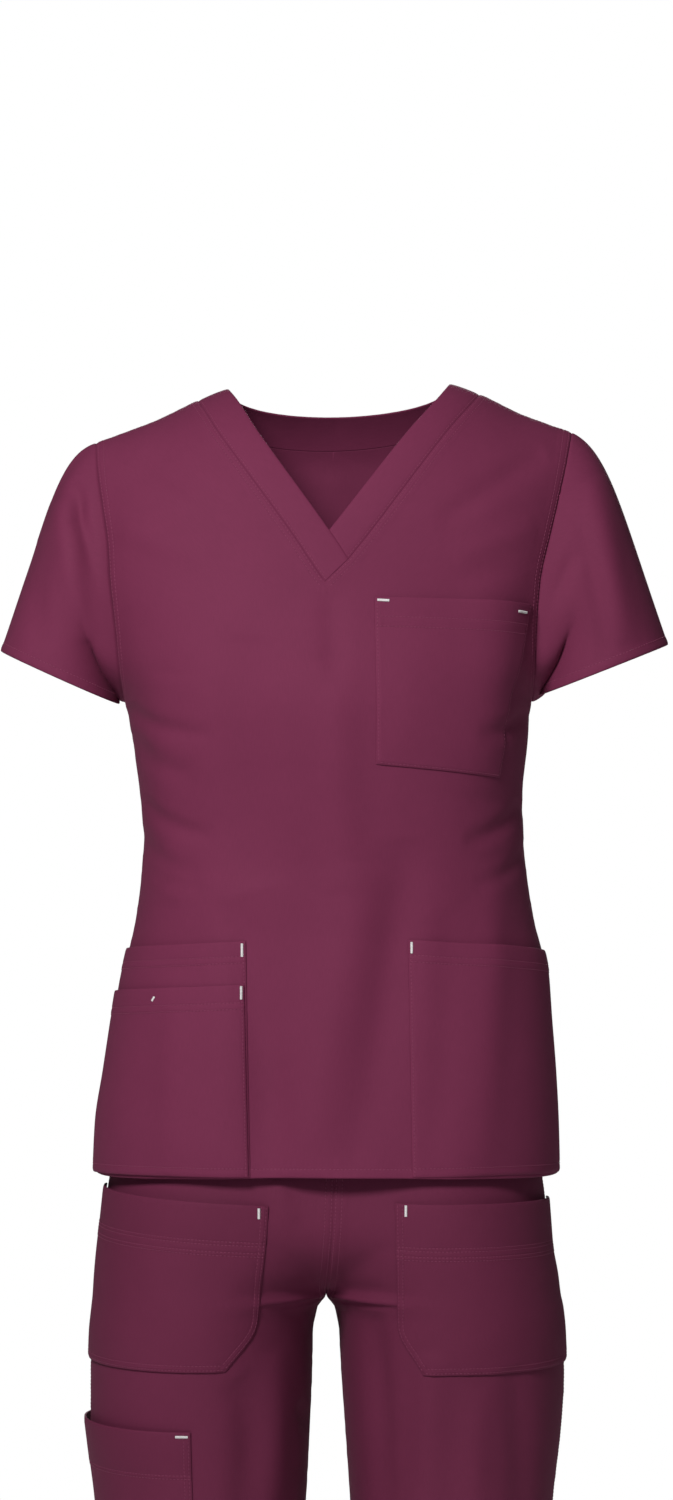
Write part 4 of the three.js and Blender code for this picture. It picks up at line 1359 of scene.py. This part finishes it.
def leg_heights():
    """Heights of the rows of a trouser panel, close together at the crotch and the hem."""
    corners = [-497, -690, -701, -706, -711, -720, -765]
    heights = [corners[0]]
    for start, end in zip(corners, corners[1:]):
        parts = max(2, math.ceil((start - end) / 4.5))
        heights += [lerp(start, end, (k + 1) / parts) for k in range(parts)]
    hem = (0, 1, 2.4, 6, 12, 18, 20.4, 21.2, 22, 22.8, 23.6, 26)
    leg = paces(-765 - ANKLE_Z, 5.5, (0,), hem)[0]
    return np.array(heights + list(lerp(-765, ANKLE_Z, leg[1:])))


def leg_turns(side, face, heights):
    """Turns of a panel's columns in even paces of cloth, closer together by its two seams."""
    coarse = np.linspace(1, 0, 49)[None, :]
    turns = np.where(coarse == 0, 1e-9, coarse) * face
    lengths = grid_lengths(leg_point(side, turns, heights[:, None]))[0]
    shares = paces(lengths[:, -1], 6)
    return face * np.array(
        [
            np.maximum(np.interp(share * run[-1], run, coarse[0]), 1e-9)
            for share, run in zip(shares, lengths)
        ]
    )


class SCRUBS_OT_trouser_panels(Operator):
    """Sews the fronts, the backs and the waistband of the trousers"""

    bl_idname = "scrubs.trouser_panels"
    bl_label = "Trousers"

    def execute(self, context):
        cloth = material_of("trouser_poplin")
        heights = leg_heights()
        for side, side_name in ((-1, "right"), (1, "left")):
            for face, face_name in ((-1, "front"), (1, "back")):
                node = f"trouser_{face_name}_{side_name}"
                skin = leg_point(side, leg_turns(side, face, heights), heights[:, None])
                skin = skin + (-side * SEAM_GAP / 3, face * SEAM_GAP / 2, 0)
                outward = from_leg(side)
                normals = grid_normals(skin, outward)
                rise = heights >= CROTCH_Z
                middle = Edge(skin, skin[rise, 0], (1.7, 6.3), 8, 0.5, 0.25, 14.0)
                inseam = Edge(skin, skin[~rise, 0], (), 0, 0.5, 0.2, 15.0 + side)
                outseam_rows = (1.7, 6.3) if face < 0 else ()
                outseam = Edge(skin, skin[:, -1], outseam_rows, 0, 0.5, 0.2, 16.0 + side)
                hem = Edge(skin, skin[-1], (TROUSER_HEM,), TROUSER_HEM, 0.3, 0.12, 17.0)
                soft = creases(TROUSER_CREASES, skin)
                edges = (middle, inseam, outseam, hem)
                relief = soft + sum(edge.height() for edge in edges)
                outer = skin + normals * relief[..., None]
                inner = skin + normals * (soft - CLOTH)[..., None]
                piece = sew(node + "_cloth", [(outer, inner)], cloth, outward)
                threads = []
                for edge, axis in ((middle, 1), (outseam, 1), (hem, 0)):
                    threads += thread_rows(outer, normals, edge, axis)
                dress(piece, node, "trouser_poplin", threads)
        heights = lerp(WAIST_SEAM_Z + SEAM_GAP, WAIST_TOP_Z, paces(35, 4)[0])[:, None]
        inwards = (1 - np.arange(41) / 40)[None, :]
        grids = []
        for side in (-1, 1):
            for face in (-1, 1):
                turn = np.where(inwards == 0, 1e-9, inwards) * face
                skin = leg_point(side, turn, heights)
                inner = skin - unit(from_axis(skin)) * CLOTH
                grids.append((skin, inner))
        piece = sew("waistband_cloth", grids, cloth, from_axis)
        dress(piece, "waistband", "trouser_poplin")
        return {"FINISHED"}


# Rows of stitches across each trouser pocket under its mouth
LEG_MOUTHS = {
    "front_pocket_right": ((28, 30.6, 36, 38.6), 3.2, 0.5),
    "front_pocket_left": ((32.5, 35.1, 39.5, 42.1), 2.6, 0.5),
    "cargo_pocket_right": ((33.6, 36.2), 1.8, 0.5),
}


def leg_pocket(node, side, turns, z, sewn_rows):
    """Sews a patch pocket on a trouser leg at a grid of turns and heights."""
    skin = leg_point(side, turns, z) + (side * SEAM_GAP / 2, -SEAM_GAP / 2, 0)
    outward = from_leg(side)
    normals = grid_normals(skin, outward)
    rows, gape, place = LEG_MOUTHS[node]
    mouth = Edge(skin, skin[0], rows, rows[-1], 0.25, 0.12, 18.0)
    inner = Edge(skin, skin[:, 0], sewn_rows, 0, 0.25, 0.22, 19.0)
    low = Edge(skin, skin[-1], sewn_rows, 0, 0.25, 0.2, 20.0)
    outer = Edge(skin, skin[:, -1], (), 0, 0.25, 0.1, 21.0)
    soft = creases(TROUSER_CREASES, skin)
    across = np.linspace(0, 1, skin.shape[1])[None, :]
    lift = LEG_POCKET_LIFT + POCKET_CLOTH
    raised = pocket_lift(lift, (inner, low, outer), mouth, across, gape, place)
    relief = soft + raised + inner.height() + low.height()
    outside = skin + normals * relief[..., None]
    inside = skin + normals * (soft + raised - mouth.height() - POCKET_CLOTH)[..., None]
    piece = sew(node + "_cloth", [(outside, inside)], material_of("trouser_poplin"), outward)
    threads = thread_rows(outside, normals, mouth, 0)
    threads += thread_rows(outside, normals, inner, 1, (low,))
    threads += thread_rows(outside, normals, low, 0, (inner,))
    return piece, threads


class SCRUBS_OT_trouser_pockets(Operator):
    """Sews the front pockets and the cargo pocket on the trousers"""

    bl_idname = "scrubs.trouser_pockets"
    bl_label = "Trouser pockets"

    def execute(self, context):
        for node, (side, top_in, top_out, bottom, inner_edge) in LEG_POCKETS.items():
            down = mouth_paces(130, LEG_MOUTHS[node][0], 4)[:, None]
            across = paces(150, 4)
            z = lerp(lerp(top_in, top_out, across), bottom, down)
            inner = turn_at(side, inner_edge.read("x", z), z)
            turns = lerp(inner, -0.004, across)
            piece, threads = leg_pocket(node, side, turns, z, (1.6, 5.2))
            dress(piece, node, "trouser_poplin", threads)
        side = -1
        node = "cargo_pocket_right"
        down = mouth_paces(CARGO_TOP_Z - CARGO_BOTTOM_Z, LEG_MOUTHS[node][0], 4)[:, None]
        across = paces(150, 4)
        z = lerp(CARGO_TOP_Z, CARGO_BOTTOM_Z, down)
        start = turn_at(side, CARGO_FRONT_X + 0 * z, CARGO_TOP_Z + 0 * z)
        turns = lerp(start, CARGO_BACK_TURN, across)
        piece, threads = leg_pocket(node, side, turns, z, (1.6, 5.2))
        dress(piece, node, "trouser_poplin", threads)
        return {"FINISHED"}


# Bartacks: piece, place across and up, angle of the bar from level, length
BARTACKS = [
    ("chest_pocket", 42, -169.2, -3, 9),
    ("chest_pocket", 148.6, -177.0, -7, 7),
    ("lower_pocket_right", -65, -434, 90, 10),
    ("lower_pocket_right_outer", -65.5, -466, 90, 10),
    ("lower_pocket_left", 63.5, -432, 90, 8.5),
    ("lower_pocket_right_outer", -133, -472, 60, 4),
    ("front_pocket_right", -52, -632.5, 90, 8),
    ("front_pocket_left", 59, -630.5, 90, 8.5),
    ("cargo_pocket_right", -111, -803.5, 0, 9.5),
]
BARTACK_WIDTH = 2.5


class SCRUBS_OT_bartacks(Operator):
    """Sews the white bartacks at the corners of the pocket mouths"""

    bl_idname = "scrubs.bartacks"
    bl_label = "Bartacks"

    def execute(self, context):
        threads = {"tunic_poplin": [], "trouser_poplin": []}
        for node, x, z, angle, length in BARTACKS:
            mesh = bpy.data.objects[node + "_cloth"].data
            points = [vertex.co / MM for vertex in mesh.vertices]
            tree = BVHTree.FromPolygons(points, [face.vertices[:] for face in mesh.polygons])
            turn = math.radians(angle)
            along = np.array([math.cos(turn), 0, math.sin(turn)])
            across = np.array([-math.sin(turn), 0, math.cos(turn)])
            slot = "tunic_poplin" if z > HEM_Z else "trouser_poplin"
            count = max(4, round(length / 0.62))
            for k in range(count):
                shift = (k + 0.5) / count - 0.5
                places, normals = [], []
                for share in (-0.5, -0.25, 0, 0.25, 0.5):
                    place = along * shift * length + across * share * BARTACK_WIDTH
                    ray = Vector((x + place[0], -400, z + place[2]))
                    hit, normal, _, _ = tree.ray_cast(ray, Vector((0, 1, 0)))
                    if hit is None:
                        raise RuntimeError(f"a bartack misses {node}")
                    places.append(hit + normal * 0.25)
                    normals.append(normal)
                row = thread_row(
                    np.array(places), np.array(normals), 99, BARTACK_WIDTH * 0.98, 0.85, 0.55
                )
                threads[slot].append(row)
        thread = thread_cloth("bartack_sewing", context.scene.scrubs_cloth.bartack_thread)
        for slot, rows in threads.items():
            piece = sew_threads(slot.replace("poplin", "bartacks"), rows, thread)
            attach(piece, BODY)
        return {"FINISHED"}


# Stage


class SCRUBS_OT_stage(Operator):
    """Lays the floor, lights the garment and places the camera"""

    bl_idname = "scrubs.stage"
    bl_label = "Stage"

    def execute(self, context):
        scene = context.scene
        settings = scene.scrubs_stage
        mesh = bpy.data.meshes.new("floor")
        shape = bmesh.new()
        bmesh.ops.create_circle(shape, cap_ends=True, segments=128, radius=3.5)
        shape.to_mesh(mesh)
        shape.free()
        floor = bpy.data.objects.new("floor", mesh)
        floor.location = (0, 0, (ANKLE_Z - 3) * MM)
        paint = bpy.data.materials.new("pale_floor")
        paint.use_nodes = True
        shader = paint.node_tree.nodes["Principled BSDF"]
        shader.inputs["Base Color"].default_value = (*settings.floor_colour, 1)
        shader.inputs["Roughness"].default_value = 0.9
        mesh.materials.append(paint)
        scene.collection.objects.link(floor)

        world = bpy.data.worlds.new("studio")
        world.use_nodes = True
        tree = world.node_tree
        backdrop = tree.nodes["Background"]
        backdrop.inputs["Color"].default_value = (1, 1, 1, 1)
        backdrop.inputs["Strength"].default_value = 1
        room = tree.nodes.new("ShaderNodeBackground")
        room.inputs["Color"].default_value = (1, 1, 1, 1)
        room.inputs["Strength"].default_value = settings.room_light
        seen = tree.nodes.new("ShaderNodeMixShader")
        path = tree.nodes.new("ShaderNodeLightPath")
        tree.links.new(path.outputs["Is Camera Ray"], seen.inputs[0])
        tree.links.new(room.outputs[0], seen.inputs[1])
        tree.links.new(backdrop.outputs[0], seen.inputs[2])
        tree.links.new(seen.outputs[0], tree.nodes["World Output"].inputs["Surface"])
        scene.world = world
        target = Vector((0, 0, -0.35))
        for name, place, size, power in (
            ("key_light", (-0.8, -2.2, 1.0), 0.6, settings.key_light),
            ("fill_light", (1.6, -2.6, 0.1), 1.6, settings.fill_light),
            ("back_light", (0.2, 2.8, 0.5), 1.2, settings.back_light),
        ):
            light = bpy.data.lights.new(name, "AREA")
            light.size = size
            light.energy = power
            lamp = bpy.data.objects.new(name, light)
            lamp.location = place
            lamp.rotation_euler = (target - Vector(place)).to_track_quat("-Z", "Y").to_euler()
            scene.collection.objects.link(lamp)

        scene.view_settings.view_transform = "Standard"
        lens = bpy.data.cameras.new("camera")
        lens.lens = settings.lens
        lens.sensor_width = 36
        camera = bpy.data.objects.new("camera", lens)
        camera.location = (0.0066, -settings.distance, -0.2824)
        camera.rotation_euler = (math.pi / 2, 0, 0)
        scene.collection.objects.link(camera)
        scene.camera = camera
        return {"FINISHED"}


# Settings


class ScrubsCloth(PropertyGroup):
    """Colours of the cloth; the trousers' colours are darkened as painted shade for the dimmer light
    lower down
    """

    tunic_colour: FloatVectorProperty(
        name="Tunic colour",
        description="Colour of the tunic's cloth in even light",
        subtype="COLOR",
        default=(0.18, 0.029, 0.075),
    )
    tunic_shade: FloatVectorProperty(
        name="Tunic shade",
        description="Darker colour that the tunic's cloth varies to",
        subtype="COLOR",
        default=(0.162, 0.025, 0.067),
    )
    # Painted shade: the trouser colour is about a sixth darker than the tunic's, standing in for the
    # dimmer light on the legs
    trouser_colour: FloatVectorProperty(
        name="Trouser colour",
        description="Colour of the trousers' cloth in even light",
        subtype="COLOR",
        default=(0.148, 0.0235, 0.061),
    )
    # Painted shade as well: darkened like the trouser colour
    trouser_shade: FloatVectorProperty(
        name="Trouser shade",
        description="Darker colour that the trousers' cloth varies to",
        subtype="COLOR",
        default=(0.132, 0.0205, 0.054),
    )
    tunic_thread: FloatVectorProperty(
        name="Tunic thread",
        description="Colour of the thread of the tunic's seams and hems",
        subtype="COLOR",
        default=(0.27, 0.055, 0.12),
    )
    trouser_thread: FloatVectorProperty(
        name="Trouser thread",
        description="Colour of the thread of the trousers' seams and hems",
        subtype="COLOR",
        default=(0.25, 0.05, 0.11),
    )
    bartack_thread: FloatVectorProperty(
        name="Bartack thread",
        description="Colour of the bartacks",
        subtype="COLOR",
        default=(0.85, 0.83, 0.83),
    )


class ScrubsStage(PropertyGroup):
    """Floor, lights and camera"""

    floor_colour: FloatVectorProperty(
        name="Floor colour",
        description="Colour of the pale floor",
        subtype="COLOR",
        default=(0.86, 0.86, 0.86),
    )
    room_light: FloatProperty(
        name="Room light",
        description="Strength of the even light from all round",
        default=0.11,
        min=0,
    )
    key_light: FloatProperty(
        name="Key light",
        description="Power of the main soft light, in front and to the left",
        default=65,
        min=0,
    )
    fill_light: FloatProperty(
        name="Fill light",
        description="Power of the weaker light on the right",
        default=4,
        min=0,
    )
    back_light: FloatProperty(
        name="Back light",
        description="Power of the light behind",
        default=44,
        min=0,
    )
    lens: FloatProperty(
        name="Lens",
        description="Focal length of the camera",
        default=110.8,
        unit="CAMERA",
        min=20,
    )
    distance: FloatProperty(
        name="Distance",
        description="Distance from the camera to the side seams",
        default=3.6,
        unit="LENGTH",
        min=1,
    )


SEWING = (
    SCRUBS_OT_stage,
    SCRUBS_OT_tunic_panels,
    SCRUBS_OT_neckband,
    SCRUBS_OT_sleeves,
    SCRUBS_OT_tunic_pockets,
    SCRUBS_OT_trouser_panels,
    SCRUBS_OT_trouser_pockets,
    SCRUBS_OT_bartacks,
)


class SCRUBS_PT_sewing(Panel):
    """Shows the cloth and stage settings, with a button for each sewing step"""

    bl_label = "Scrubs"
    bl_space_type = "VIEW_3D"
    bl_region_type = "UI"
    bl_category = "Scrubs"

    def draw(self, context):
        for group in (context.scene.scrubs_cloth, context.scene.scrubs_stage):
            for name in group.__annotations__:
                self.layout.prop(group, name)
        for operator in SEWING:
            self.layout.operator(operator.bl_idname)


CLASSES = (ScrubsCloth, ScrubsStage, *SEWING, SCRUBS_PT_sewing)


def register():
    for found in CLASSES:
        bpy.utils.register_class(found)
    bpy.types.Scene.scrubs_cloth = PointerProperty(type=ScrubsCloth)
    bpy.types.Scene.scrubs_stage = PointerProperty(type=ScrubsStage)


def unregister():
    del bpy.types.Scene.scrubs_stage
    del bpy.types.Scene.scrubs_cloth
    for found in reversed(CLASSES):
        bpy.utils.unregister_class(found)


def main():
    register()
    for operator in SEWING:
        group, name = operator.bl_idname.split(".")
        getattr(getattr(bpy.ops, group), name)()


if __name__ == "__main__":
    main()
